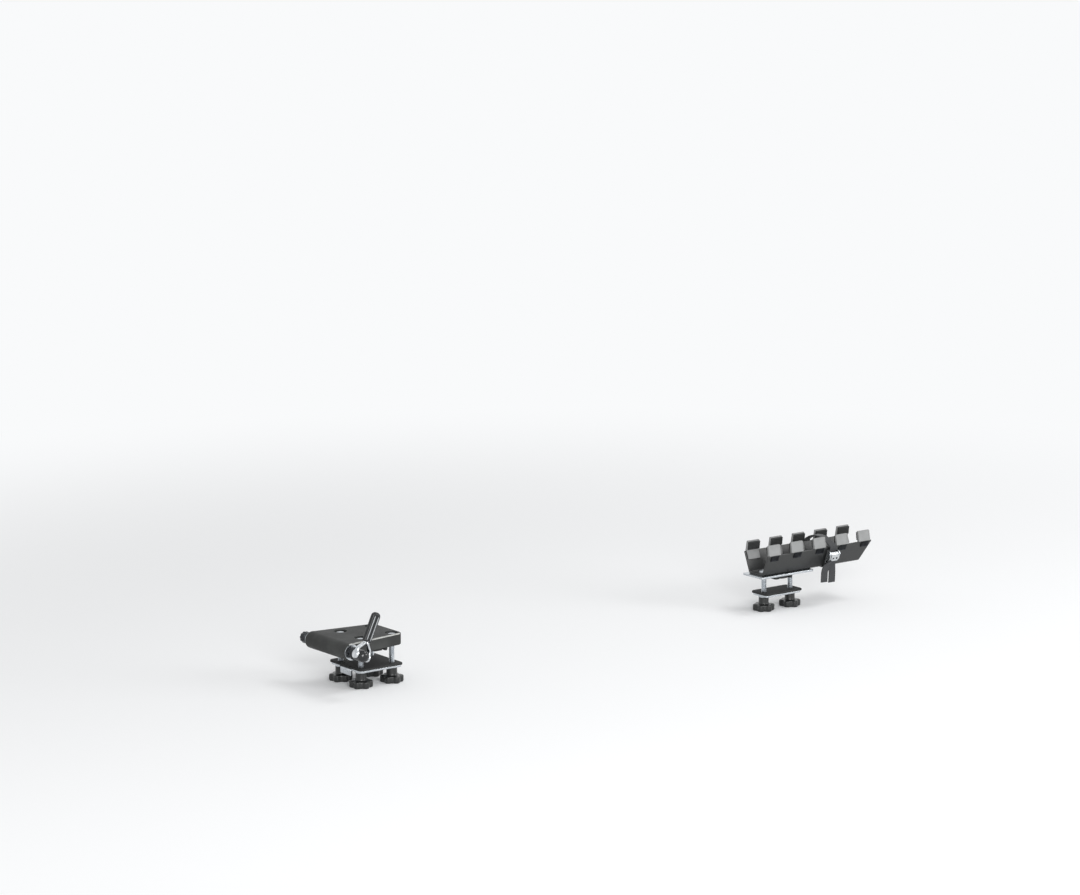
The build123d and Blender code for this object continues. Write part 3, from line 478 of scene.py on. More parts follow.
# Powder-coated sheet steel of the cradle: satin black with orange peel.
COATED_STEEL = PowderCoat("steel_powder_coated", "coated_black", "#1f2020", 0.45, pale="#494b4b", coat=0.15)
# Nickel-chrome plating of the lever and buckle: bright, with hard reflections.
CHROME = PlatedMetal("steel_chrome_plated", "bright_chrome", "#d4d7d9", 0.14, shade="#b4b8bb")
# Zinc plating of bolts, washers and plates: bluish white, a little dull.
ZINC = PlatedMetal("steel_zinc_plated", "plated_steel", "#c8ccd0", 0.24, shade="#b0b5ba", dulling=0.1)
# Black-oxided steel of the nut and the thrust cup: dark, with an oily gloss.
BLACK_OXIDE = PlatedMetal("steel_black_oxided", "dark_steel", "#3a3c3e", 0.32, shade="#26282a")
# Blued spring steel of the clips: darker than the wall that they grip.
SPRING_STEEL = PlatedMetal("spring_steel_blued", "dark_steel", "#2b2d30", 0.38, shade="#1b1c1e")
# Free-cutting brass of the knobs' threaded sleeves.
BRASS = PlatedMetal("brass_turned", "brass", "#c7a45c", 0.28, shade="#a3823f")
# Polypropylene webbing of the wheel strap: black, with grey light on its ribs.
WEBBING = WovenWebbing("polypropylene_woven", "black_webbing", "#111214", 0.72, pale="#303236")

# The finish of each node of the frame, apart from the knobs, their sleeves and the tabs
NODE_FINISHES: dict[str, Finish] = {name: finish for finish, names in (
    (NYLON, "fork_block"),
    (ACETAL, "cam_head"),
    (GRIP_VINYL, "lever_grip"),
    (BLACK_RUBBER, "front_bar_pad front_stop_studs front_clamp_liner rear_bar_pad rear_stop_studs "
                   "rear_clamp_liner near_tab_grips far_tab_grips"),
    (COATED_STEEL, "trough"),
    (CHROME, "cam_shaft lever_yoke buckle_frame buckle_lever"),
    (ZINC, "axle_sleeve barrel_end_washers skewer_rod block_bolts front_clamp_plate front_plate_washers "
           "base_plate trough_bolts rear_clamp_plate rear_plate_washers buckle_pin buckle_spring"),
    (BLACK_OXIDE, "thrust_cup skewer_nut"),
    (SPRING_STEEL, "near_tab_clips far_tab_clips"),
    (WEBBING, "strap strap_spare_end"),
) for name in names.split()}


def finish_nodes() -> None:
    """Gives every node of the frame its finish, also where a piece takes its place."""
    for name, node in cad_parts.items():
        if "knob_insert" in name:
            finish: Finish = BRASS
        elif "knob" in name:
            finish = KNOB_PLASTIC
        elif "_tab_" in name and name[-1].isdigit():
            finish = TAB_RUBBER
        else:
            finish = NODE_FINISHES[name]
        node.data.materials.clear()
        node.data.materials.append(finish.material())
        LOG.info("%s is finished as %s", name, finish.label)


# Shapes


def box_mm(node: str) -> tuple[Vector, Vector]:
    """Gives the lowest and highest corners of a node of the frame, in millimetres."""
    low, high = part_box(node)
    return low / MM, high / MM


def rounded(corners: Sequence[Flat], radii: Sequence[float], closed: bool = False) -> list[Flat]:
    """Rounds the corners of a flat route with arcs.

    Args:
        corners: The route's corners.
        radii: One radius for each corner, where zero keeps it sharp. An open route's ends take none.
        closed: Whether the last corner joins the first.

    Returns:
        The route with its arcs as short runs.
    """
    route: list[Flat] = []
    last = len(corners) - 1
    for i, (corner, radius) in enumerate(zip(corners, radii)):
        if radius <= 0.0 or (not closed and i in (0, last)):
            route.append(corner)
            continue
        here = Vector(corner)
        back = (Vector(corners[i - 1]) - here).normalized()
        ahead = (Vector(corners[(i + 1) % len(corners)]) - here).normalized()
        half = back.angle(ahead) / 2.0
        reach = radius / math.tan(half)
        centre = here + (back + ahead).normalized() * (radius / math.sin(half))
        start, end = here + back * reach - centre, here + ahead * reach - centre
        sweep = math.pi - 2.0 * half
        steps = max(2, round(sweep / ARC_STEP))
        for k in range(steps + 1):
            first, second = math.sin((1.0 - k / steps) * sweep), math.sin(k / steps * sweep)
            route.append(tuple(centre + (start * first + end * second) / math.sin(sweep)))
    return route


def oblong(low: Sequence[float], high: Sequence[float], radius: float) -> list[Flat]:
    """Draws a rectangle with rounded corners between its lowest and highest corners."""
    corners = [low, (high[0], low[1]), high, (low[0], high[1])]
    return rounded(corners, [radius] * len(corners), closed=True)


def circle(x: float, y: float, radius: float, sides: int = 40) -> list[Flat]:
    """Gives the corners of a round hole."""
    turns = [TURN * k / sides for k in range(sides)]
    return [(x + radius * math.cos(turn), y + radius * math.sin(turn)) for turn in turns]


def sideways(route: Sequence[Flat]) -> list[Vector]:
    """Finds how far each point of a route moves when the route moves sideways by one.

    Args:
        route: The points of an open flat route.

    Returns:
        A flat vector for each point, longer than one at a bend so that thickness is kept.
    """
    runs = [(Vector(b) - Vector(a)).normalized() for a, b in zip(route, route[1:])]
    normals = [Vector((-run.y, run.x)) for run in runs]
    moves = [normals[0]]
    for before, after in zip(normals, normals[1:]):
        middle = (before + after).normalized()
        moves.append(middle / max(middle.dot(after), BEND_LIMIT))
    return moves + [normals[-1]]


def tidied(mesh: Mesh) -> Mesh:
    """Merges points that meet, turns the faces outward and smooths the shallow edges.

    Args:
        mesh: The mesh, which is changed.

    Returns:
        The same mesh.
    """
    work = bmesh.new()
    work.from_mesh(mesh)
    bmesh.ops.remove_doubles(work, verts=work.verts, dist=MERGE * MM)
    bmesh.ops.recalc_face_normals(work, faces=work.faces)
    work.to_mesh(mesh)
    work.free()
    mesh.shade_smooth()
    mesh.set_sharp_from_angle(angle=SMOOTH_BELOW)
    return mesh


def joined(parts: Sequence[Mesh]) -> Mesh:
    """Puts several meshes into the first of them.

    Args:
        parts: The meshes.

    Returns:
        The first mesh, tidied.
    """
    work = bmesh.new()
    for part in parts:
        work.from_mesh(part)
    work.to_mesh(parts[0])
    work.free()
    return tidied(parts[0])


def shaped(mesh: Mesh, steps: Sequence[tuple[str, dict[str, object]]]) -> Mesh:
    """Runs modifiers over a mesh and keeps what they make.

    Args:
        mesh: The mesh to start from.
        steps: Each modifier's type with its settings.

    Returns:
        A new tidied mesh.
    """
    maker = bpy.data.objects.new("maker", mesh)
    bpy.context.scene.collection.objects.link(maker)
    for kind, settings in steps:
        modifier = maker.modifiers.new(kind.lower(), kind)
        for key, value in settings.items():
            setattr(modifier, key, value)
    graph = bpy.context.evaluated_depsgraph_get()
    result = bpy.data.meshes.new_from_object(maker.evaluated_get(graph))
    bpy.data.objects.remove(maker)
    return tidied(result)


def moved(mesh: Mesh, turn: Matrix) -> Mesh:
    """Moves a finished mesh by a matrix whose lengths are millimetres."""
    mesh.transform(Matrix.Scale(MM, 4) @ turn @ Matrix.Scale(1.0 / MM, 4))
    return mesh


def softened(mesh: Mesh, edge: float, degrees: float) -> Mesh:
    """Rounds the edges of a mesh that turn by more than a few degrees.

    Args:
        mesh: The mesh to start from.
        edge: How far the rounding reaches.
        degrees: The least turn of an edge that is rounded.

    Returns:
        A new tidied mesh.
    """
    return shaped(mesh, [("BEVEL", {"width": edge * MM, "segments": EDGE_RUNS, "limit_method": "ANGLE",
                                    "angle_limit": math.radians(degrees)})])


def drilled(mesh: Mesh, cutter: Mesh) -> Mesh:
    """Cuts one closed mesh out of another.

    Args:
        mesh: The mesh to start from.
        cutter: What is taken away from it.

    Returns:
        A new tidied mesh.
    """
    drill = bpy.data.objects.new("drill", cutter)
    bpy.context.scene.collection.objects.link(drill)
    cut = shaped(mesh, [("BOOLEAN", {"operation": "DIFFERENCE", "solver": "EXACT", "object": drill})])
    bpy.data.objects.remove(drill)
    return cut


def blank(outline: Sequence[Flat], holes: Sequence[Hole], low: float, high: float,
          edge: float) -> Mesh:
    """Cuts a level blank with holes and rounded edges.

    Args:
        outline: The blank's corners in order.
        holes: Each hole's middle and radius.
        low: The level of its underside.
        high: The level of its top.
        edge: The radius of its edges.

    Returns:
        The blank's mesh.
    """
    curve = bpy.data.curves.new("blank", "CURVE")
    curve.dimensions = "2D"
    curve.fill_mode = "BOTH"
    curve.extrude = ((high - low) / 2.0 - edge) * MM
    curve.bevel_depth = edge * MM
    curve.bevel_resolution = 2
    curve.offset = -edge * MM
    for loop in [outline] + [circle(*hole) for hole in holes]:
        spline = curve.splines.new("POLY")
        spline.points.add(len(loop) - 1)
        for point, (x, y) in zip(spline.points, loop):
            point.co = (x * MM, y * MM, 0.0, 1.0)
        spline.use_cyclic_u = True
    maker = bpy.data.objects.new("blank", curve)
    mesh = bpy.data.meshes.new_from_object(maker)
    bpy.data.objects.remove(maker)
    bpy.data.curves.remove(curve)
    mesh.transform(Matrix.Translation((0.0, 0.0, (low + high) / 2.0 * MM)))
    return tidied(mesh)


@dataclass
class Shell:
    """A surface gathered point by point, in millimetres, with places on its webbing where it has any."""

    points: list[Point] = field(default_factory=list)
    faces: list[tuple[int, ...]] = field(default_factory=list)
    weave: list[Flat] = field(default_factory=list)

    def ring(self, places: Iterable[Point]) -> list[int]:
        """Adds points.

        Args:
            places: The points.

        Returns:
            Their numbers.
        """
        first = len(self.points)
        self.points.extend(places)
        return list(range(first, len(self.points)))

    def band(self, low: Sequence[int], high: Sequence[int], closed: bool = True) -> None:
        """Joins two rings of as many points with a band of faces.

        Args:
            low: Point numbers of one ring.
            high: Point numbers of the other.
            closed: Whether the rings close on themselves.
        """
        count = len(low)
        for i in range(count if closed else count - 1):
            j = (i + 1) % count
            self.faces.append((low[i], low[j], high[j], high[i]))

    def loft(self, rings: Sequence[Sequence[Point]]) -> None:
        """Joins rings in order and closes both ends.

        Args:
            rings: The rings, each with as many points.
        """
        numbered = [self.ring(ring) for ring in rings]
        for low, high in zip(numbered, numbered[1:]):
            self.band(low, high)
        self.faces += [tuple(numbered[0]), tuple(numbered[-1])]

    def prism(self, section: Sequence[Flat], start: float, end: float) -> None:
        """Adds a bar with an (x, z) section between two places along Y."""
        self.loft([[(x, y, z) for x, z in section] for y in (start, end)])

    def block(self, low: Point, high: Point) -> None:
        """Adds a plain block between its lowest and highest corners."""
        section = [(low[0], low[2]), (high[0], low[2]), (high[0], high[2]), (low[0], high[2])]
        self.prism(section, low[1], high[1])

    def turned(self, profile: Sequence[Flat], x: float = 0.0, y: float = 0.0, sides: int = 48,
               swell: Optional[Callable[[int, float], float]] = None) -> None:
        """Adds a shape turned about an upright axis.

        Args:
            profile: Radius and height from one end to the other.
            x: The axis's place along X.
            y: The axis's place along Y.
            sides: Points round the axis.
            swell: What is added to the radius, from the profile point's number and the angle.
        """
        rings = []
        for number, (radius, height) in enumerate(profile):
            ring = []
            for k in range(sides):
                turn = TURN * k / sides
                reach = radius + (swell(number, turn) if swell else 0.0)
                ring.append((x + reach * math.cos(turn), y + reach * math.sin(turn), height))
            rings.append(ring)
        self.loft(rings)

    def sheet(self, route: Sequence[Flat], thick: float, start: Level, end: Level) -> None:
        """Adds sheet bent along an (x, z) route, with its width along Y.

        Args:
            route: The middle line of the sheet's thickness.
            thick: The thickness.
            start: Where the sheet starts along Y, from the height.
            end: Where it ends.
        """
        moves = sideways(route)
        sides = []
        for edge in (start, end):
            for way in (0.5, -0.5):
                line = [Vector(point) + move * (thick * way) for point, move in zip(route, moves)]
                sides.append(self.ring((p.x, edge(p.y), p.y) for p in line))
        outer_a, inner_a, outer_b, inner_b = sides
        for low, high in ((outer_a, outer_b), (inner_a, inner_b), (outer_a, inner_a), (outer_b, inner_b)):
            self.band(low, high, closed=False)
        for end_number in (0, -1):
            self.faces.append(tuple(side[end_number] for side in (outer_a, outer_b, inner_b, inner_a)))

    def sweep(self, route: Sequence[Flat], section: Sequence[Flat], taper: float = 1.0,
              middle: float = 0.0) -> None:
        """Carries a section along an (x, z) route and notes each point's place on the webbing.

        Args:
            route: The route of the section's middle.
            section: Places across the route along Y, and out from it.
            taper: How wide the section ends, as a share of how it starts.
            middle: The route's place along Y.
        """
        length = [0.0]
        for a, b in zip(route, route[1:]):
            length.append(length[-1] + (Vector(b) - Vector(a)).length)
        rings = []
        for (x, z), move, gone in zip(route, sideways(route), length):
            width = 1.0 + (taper - 1.0) * gone / length[-1]
            rings.append([(x + move.x * out, middle + across * width, z + move.y * out)
                          for across, out in section])
            self.weave.extend((across, gone) for across, out in section)
        self.loft(rings)

    def mesh(self, name: str, turn: Matrix = Matrix.Identity(4)) -> Mesh:
        """Makes the mesh.

        Args:
            name: The mesh's name.
            turn: How the gathered points are turned and moved, in millimetres.

        Returns:
            A tidied mesh in metres.
        """
        mesh = bpy.data.meshes.new(name)
        mesh.from_pydata([turn @ Vector(point) * MM for point in self.points], [], self.faces)
        if self.weave:
            layer = mesh.uv_layers.new(name=WEB_MAP)
            for loop in mesh.loops:
                across, along = self.weave[loop.vertex_index]
                layer.data[loop.index].uv = (across * MM, along * MM)
        return tidied(mesh)


@dataclass
class Piece:
    """One visible piece: its mesh, finish and body, and the frame's nodes that it stands for."""

    name: str
    mesh: Mesh
    finish: Finish
    body: str
    nodes: tuple[str, ...]
    edge: float = 0.0

    def place(self) -> Object:
        """Dresses the piece and lets it ride on its body.

        Returns:
            The piece's object.
        """
        self.mesh.materials.clear()
        self.mesh.materials.append(self.finish.material())
        piece = bpy.data.objects.new(self.name, self.mesh)
        bpy.context.scene.collection.objects.link(piece)
        if self.edge > 0.0:
            worn = piece.modifiers.new("edges", "BEVEL")
            worn.width = self.edge * MM
            worn.segments = EDGE_RUNS
            worn.limit_method = "ANGLE"
            worn.angle_limit = math.radians(EDGE_TURN)
            worn.harden_normals = True
        even = piece.modifiers.new("normals", "WEIGHTED_NORMAL")
        even.keep_sharp = True
        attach(piece, self.body)
        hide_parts(*self.nodes)
        LOG.info("%s stands for %s on %s, finished as %s", self.name, ", ".join(self.nodes), self.body,
                 self.finish.label)
        return piece


# Bolts, knobs and clamp plates


@dataclass
class CarriageBolt:
    """A round-headed bolt with a square neck and a rolled M8 thread, seen between bar and block."""

    name: str
    node: str
    x: float
    y: float
    seat: float
    end: float
    head_radius: float = 8.5
    head_height: float = 4.0
    rim: float = 0.7
    rim_edge: float = 0.2
    neck: float = 4.0
    neck_half: float = 3.9
    crest: float = 3.95
    core: float = 3.35
    end_inset: float = 0.3
    pitch: float = 1.25
    pitch_shares: tuple[float, ...] = (0.0, 0.16, 0.5, 0.66)
    sides: int = 24

    def head(self, shell: Shell) -> None:
        """Adds the domed head with its thin rim.

        Args:
            shell: The bolt's surface.
        """
        radius, rise = self.head_radius, self.head_height - self.rim
        under = [(0.0, self.seat), (radius - self.rim_edge, self.seat), (radius, self.seat + self.rim_edge)]
        dome = [(radius * math.cos(angle), self.seat + self.rim + rise * math.sin(angle))
                for angle in map(math.radians, range(0, 91, 10))]
        shell.turned(under + dome, self.x, self.y)

    def square_neck(self, shell: Shell) -> None:
        """Adds the neck that keeps the bolt from turning."""
        half = self.neck_half
        shell.block((self.x - half, self.y - half, self.seat - self.neck),
                    (self.x + half, self.y + half, self.seat))

    def thread(self, shell: Shell) -> None:
        """Adds the shank, whose rows follow the thread's helix and lie flat on its two ends.

        Args:
            shell: The bolt's surface.
        """
        top = self.seat - self.neck / 2.0
        end_radius = self.core - self.end_inset
        stations = tuple(zip(self.pitch_shares, (self.crest, self.crest, self.core, self.core)))
        turns = math.ceil((top - self.end) / self.pitch) + 2
        columns: list[list[int]] = []
        for k in range(self.sides):
            angle = TURN * k / self.sides
            places = []
            for turn in range(turns):
                for share, radius in stations:
                    height = top - self.pitch * (turn + share - k / self.sides)
                    if height >= top or height <= self.end:
                        radius = end_radius
                    height = min(max(height, self.end), top)
                    reach = min(radius, end_radius + (height - self.end))
                    places.append((self.x + reach * math.cos(angle), self.y + reach * math.sin(angle),
                                   height))
            columns.append(shell.ring(places))
        # The last column meets the first one turn further down, and a face there may have three corners
        for k, column in enumerate(columns):
            wraps = k == self.sides - 1
            following = columns[0] if wraps else columns[k + 1]
            back = len(stations) if wraps else 0
            for row in range(len(column) - 1):
                upper, lower = max(row - back, 0), max(row + 1 - back, 0)
                corners = (column[row], column[row + 1], following[lower], following[upper])
                shell.faces.append(tuple(dict.fromkeys(corners)))
        shell.faces += [tuple(column[end] for column in columns) for end in (0, -1)]

    def build(self) -> Object:
        """Makes the bolt, zinc plated.

        Returns:
            The bolt's object.
        """
        shell = Shell()
        self.head(shell)
        self.square_neck(shell)
        self.thread(shell)
        return Piece(self.name, shell.mesh(self.name), ZINC, "root", (self.node,)).place()


@dataclass
class HandKnob:
    """A lobed hand knob with a neck, a rolled rim and a dished foot with its moulding mark."""

    node: str
    lobes: int = 6
    tip_radius: float = 17.0
    lobe_radius: float = 5.0
    web_radius: float = 13.6
    valley: float = 1.1
    neck_radius: float = 7.5
    neck_height: float = 11.0
    insert_radius: float = 5.55
    insert_length: float = 12.0
    bore_radius: float = 4.5
    floor: float = 2.6
    edge: float = 0.5
    # Out from the neck and up from the disc, where the one runs into the other
    flare: tuple[Flat, ...] = ((0.1, 2.2), (0.5, 0.9), (1.4, 0.2), (2.6, 0.0))
    # In from the lobed outline, and up from the disc or from the foot, round the rolled rim
    rim_top: tuple[Flat, ...] = ((3.4, 0.05), (2.1, -0.05), (1.1, -0.35), (0.4, -0.95), (0.0, -1.8))
    rim_foot: tuple[Flat, ...] = ((0.0, 2.0), (0.35, 1.0), (1.0, 0.35), (1.9, 0.05), (2.8, 0.0))
    # Radius and height over the foot, in the dish with its moulding mark
    dish: tuple[Flat, ...] = ((9.9, 0.0), (9.4, 0.25), (9.0, 1.1), (8.4, 1.4), (2.5, 1.4), (2.2, 0.9),
                              (1.4, 0.8), (0.0, 0.8))
    sides: int = 120

    def outline(self, turn: float) -> float:
        """Gives the lobed rim's radius at an angle.

        Args:
            turn: The angle about the knob's axis.

        Returns:
            The radius, smooth from a lobe into the web beside it.
        """
        step = TURN / self.lobes
        off = (turn + step / 2.0) % step - step / 2.0
        centre = self.tip_radius - self.lobe_radius
        chord = max(self.lobe_radius ** 2 - (centre * math.sin(off)) ** 2, 0.0)
        lobe = centre * math.cos(off) + math.sqrt(chord)
        gap = lobe - self.web_radius
        return (lobe + self.web_radius + math.sqrt(gap * gap + self.valley ** 2)) / 2.0 - self.valley / 2.0

    def build(self) -> Object:
        """Makes the knob on its own body.

        Returns:
            The knob's object.
        """
        low, high = box_mm(self.node)
        top, foot = high.z, low.z
        disc, seat = top - self.neck_height, top - self.insert_length
        neck, bore, sleeve = self.neck_radius, self.bore_radius, self.insert_radius
        round_part = [(0.0, foot + self.floor), (bore, foot + self.floor), (bore, seat), (sleeve, seat),
                      (sleeve, top), (neck - self.edge, top), (neck, top - self.edge)]
        round_part += [(neck + out, disc + up) for out, up in self.flare]
        rim = [(0.0, disc + up) for _, up in self.rim_top] + [(0.0, foot + up) for _, up in self.rim_foot]
        insets = [inset for inset, _ in self.rim_top + self.rim_foot]
        profile = round_part + rim + [(radius, foot + up) for radius, up in self.dish]
        first = len(round_part)

        def swell(number: int, turn: float) -> float:
            """Carries the rim's points, which are given as insets, out to the lobed outline."""
            lobed = first <= number < first + len(insets)
            return self.outline(turn) - insets[number - first] if lobed else 0.0

        shell = Shell()
        middle = (low + high) / 2.0
        shell.turned(profile, middle.x, middle.y, self.sides, swell)
        name = self.node + "_moulded"
        return Piece(name, shell.mesh(name), KNOB_PLASTIC, self.node, (self.node,)).place()


@dataclass
class ClampPlate:
    """The pressed lower plate of one unit, with turned-down lips where it is wide."""

    name: str
    node: str
    body: str
    bolts: Sequence[Flat]
    lips: bool
    corner: float = 5.0
    hole: float = 4.5
    edge: float = 0.6
    thick: float = 3.0
    lip_half: float = 13.0
    lip_play: float = 0.02
    relief: float = 1.6
    relief_corner: float = 0.7
    setback: float = 4.5
    bend: float = 2.6

    def lip(self, low: Vector, high: Vector, side: int) -> Mesh:
        """Makes a lip bent down from the plate's edge.

        Args:
            low: The plate's lowest corner.
            high: Its highest corner.
            side: The lip's side, 1 for the rear and -1 for the front.

        Returns:
            The lip's mesh.
        """
        level = high.z - self.thick / 2.0
        out = high.y - self.thick / 2.0
        route = rounded([(high.y - self.setback - self.bend, level), (out, level), (out, low.z)],
                        [0.0, self.bend, 0.0])
        shell = Shell()
        shell.sheet(route, self.thick - self.lip_play, lambda z: -self.lip_half, lambda z: self.lip_half)
        mesh = shell.mesh(self.name, Matrix.Rotation(side * QUARTER, 4, "Z"))
        return softened(mesh, self.edge, EDGE_TURN)

    def outline(self, low: Vector, high: Vector) -> list[Flat]:
        """Draws the plate's outline, notched beside each lip to relieve the bend.

        Args:
            low: The plate's lowest corner.
            high: Its highest corner.

        Returns:
            The outline's corners.
        """
        corners: list[Flat] = []
        radii: list[float] = []
        middle_y = (low.y + high.y) / 2.0
        half_y, half_x, notch = (high.y - low.y) / 2.0, high.x, self.lip_half + self.relief
        turns = [(-half_x, 0.0, self.corner), (half_x, 0.0, self.corner)]
        if self.lips:
            turns[1:1] = [(x, inset, self.relief_corner) for x, inset in (
                (-notch, 0.0), (-notch, self.setback), (notch, self.setback), (notch, 0.0))]
        for side in (-1, 1):
            for x, inset, radius in turns:
                corners.append((side * x, middle_y + side * (half_y - inset)))
                radii.append(radius)
        return rounded(corners, radii, closed=True)

    def build(self) -> Object:
        """Makes the plate, zinc plated.

        Returns:
            The plate's object.
        """
        low, high = box_mm(self.node)
        holes = [(x, y, self.hole) for x, y in self.bolts]
        flat = blank(self.outline(low, high), holes, high.z - self.thick, high.z, self.edge)
        parts = [flat] + ([self.lip(low, high, side) for side in (-1, 1)] if self.lips else [])
        return Piece(self.name, joined(parts), ZINC, self.body, (self.node,)).place()


@dataclass
class RubberSheet:
    """A moulded rubber liner on a clamp plate, with rounded edges."""

    name: str
    node: str
    body: str
    bolts: Sequence[Flat]
    corner: float = 7.0
    hole: float = 4.5
    edge: float = 0.9

    def build(self) -> Object:
        """Makes the liner.

        Returns:
            The liner's object.
        """
        low, high = box_mm(self.node)
        outline = oblong(low.to_2d(), high.to_2d(), self.corner)
        mesh = blank(outline, [(x, y, self.hole) for x, y in self.bolts], low.z, high.z, self.edge)
        return Piece(self.name, mesh, BLACK_RUBBER, self.body, (self.node,)).place()


@dataclass
class BarClamps:
    """Everything that holds the two units on their bars."""

    bolt_head: float = 4.0

    def middles(self, unit: str, count: int) -> list[Flat]:
        """Finds a unit's bolt places from its knobs.

        Args:
            unit: The unit's name, front or rear.
            count: How many knobs it has.

        Returns:
            The (x, y) place of each bolt.
        """
        places = []
        for number in range(1, count + 1):
            low, high = box_mm(f"{unit}_knob_{number}")
            places.append(((low.x + high.x) / 2.0, (low.y + high.y) / 2.0))
        return places

    def build(self) -> list[Object]:
        """Makes the bolts, knobs, plates and liners of both units.

        Returns:
            Their objects.
        """
        made = []
        for unit, node, count in (("front", "block_bolts", 4), ("rear", "trough_bolts", 2)):
            bolts = self.middles(unit, count)
            low, high = box_mm(node)
            for number, (x, y) in enumerate(bolts, 1):
                bolt = CarriageBolt(f"{unit}_carriage_bolt_{number}", node, x, y,
                                    high.z - self.bolt_head, low.z)
                made.append(bolt.build())
                made.append(HandKnob(f"{unit}_knob_{number}").build())
            body = f"{unit}_clamp"
            made.append(ClampPlate(f"{unit}_pressed_plate", f"{unit}_clamp_plate", body, bolts,
                                   unit == "front").build())
            made.append(RubberSheet(f"{unit}_moulded_liner", f"{unit}_clamp_liner", body, bolts).build())
        return made


# Quick release


@dataclass
class QuickRelease:
    """The skewer's cam lever, with its forked arm and ribbed grip, and the fluted nut at the far end."""

    lean: float = 25.0
    axle_y: float = -58.0
    axle_z: float = 10.0
    pin_x: float = 73.0
    eye_radius: float = 6.4
    eye_middle: float = 10.5
    eye_thick: float = 3.3
    eye_edge: float = 0.5
    arm_width: float = 8.0
    arm_thick: float = 3.2
    arm_edge: float = 1.1
    arm_taper: float = 0.62
    arm_heights: tuple[float, ...] = (-1.0, 9.0, 18.6, 22.0)
    arm_bends: tuple[float, ...] = (0.0, 7.0, 6.0, 0.0)
    tang_foot: float = 18.0
    tang_top: float = 54.0
    tang_half_x: float = 1.9
    tang_half_y: float = 4.3
    voxel: float = 0.3
    smoothing: float = 0.5
    smoothings: int = 6
    grip_start: float = 20.0
    grip_end: float = 63.0
    grip_half_x: float = 3.7
    grip_half_y: float = 6.7
    # How square the grip is: the powers of its reach along X and along Y
    square_x: float = 0.45
    square_y: float = 0.7
    grip_sides: int = 96
    foot_steps: tuple[float, ...] = (0.0, 0.15, 0.4, 0.8, 1.2)
    foot_inset: float = 0.12
    waist_length: float = 30.0
    waist_inset: float = 0.05
    body_start: float = 22.0
    body_runs: int = 28
    tip_length: float = 6.0
    tip_reached: float = 0.998
    tip_narrows: float = 2.2
    tip_flattens: Flat = (3.2, 0.4)
    rib_row: float = 3.0
    rib_half: float = 0.85
    rib_height: float = 0.9
    rib_start: float = 22.2
    rib_end: float = 58.0
    rib_bluntness: int = 12
    rib_least: float = 0.12
    rib_steps: int = 24
    rib_sides: int = 16
    nut_radius: float = 8.4
    nut_bore: float = 2.55
    nut_sides: int = 120
    nut_flutes: int = 10
    flute_depth: float = 0.45
    nut_face: float = -56.0

    def on_axle(self) -> Matrix:
        """Turns a shape drawn about the axle with an upright lever to the lever's lean."""
        lean = Matrix.Rotation(-math.radians(self.lean), 4, "X")
        return Matrix.Translation((0.0, self.axle_y, self.axle_z)) @ lean

    def yoke_part(self, shell: Shell, turn: Matrix) -> Mesh:
        """Makes one part of the forked arm, at the pin."""
        return shell.mesh("yoke", Matrix.Translation((self.pin_x, 0.0, 0.0)) @ turn)

    def yoke(self) -> Object:
        """Makes the forked arm: two eyes, two arms that meet above the housing, and the tang.

        Returns:
            The arm's object.
        """
        parts = []
        half, radius, edge = self.eye_thick / 2.0, self.eye_radius, self.eye_edge
        arm_half = Vector((self.arm_width / 2.0, self.arm_thick / 2.0))
        for side in (-1, 1):
            middle, meeting = side * self.eye_middle, side * self.tang_half_x
            low, high = middle - half, middle + half
            eye = Shell()
            eye.turned([(0.0, low), (radius - edge, low), (radius, low + edge), (radius, high - edge),
                        (radius - edge, high), (0.0, high)])
            parts.append(self.yoke_part(eye, Matrix.Rotation(-QUARTER, 4, "X")))
            arm = Shell()
            corners = list(zip((middle, middle, meeting, meeting), self.arm_heights))
            arm.sweep(rounded(corners, self.arm_bends), oblong(-arm_half, arm_half, self.arm_edge),
                      self.arm_taper)
            arm.weave.clear()
            parts.append(self.yoke_part(arm, Matrix.Rotation(QUARTER, 4, "Z")))
        tang = Shell()
        tang.block((-self.tang_half_x, -self.tang_half_y, self.tang_foot),
                   (self.tang_half_x, self.tang_half_y, self.tang_top))
        parts.append(self.yoke_part(tang, Matrix.Identity(4)))
        merged = shaped(joined(parts), [("REMESH", {"mode": "VOXEL", "voxel_size": self.voxel * MM}),
                                        ("SMOOTH", {"factor": self.smoothing,
                                                    "iterations": self.smoothings})])
        merged = moved(merged, self.on_axle())
        return Piece("forged_yoke", merged, CHROME, "cam_lever", ("lever_yoke",)).place()

    def grip_halves(self, height: float) -> Flat:
        """Gives half the grip's depth and width at a height.

        Args:
            height: The height above the axle with the lever upright.

        Returns:
            Half of its reach along X and along Y.
        """
        into_tip = max((height - self.grip_end + self.tip_length) / self.tip_length, 0.0)
        foot = self.foot_steps[-1]
        into_foot = max((self.grip_start + foot - height) / foot, 0.0)
        narrow = math.sqrt(max(1.0 - into_tip ** self.tip_narrows, 0.0))
        flat = max(1.0 - into_tip ** self.tip_flattens[0], 0.0) ** self.tip_flattens[1]
        into_waist = min((height - self.grip_start) / self.waist_length, 1.0)
        waist = 1.0 - self.waist_inset * math.sin(math.pi * into_waist)
        shrink = 1.0 - self.foot_inset * into_foot ** 2
        return self.grip_half_x * flat * shrink, self.grip_half_y * narrow * shrink * waist

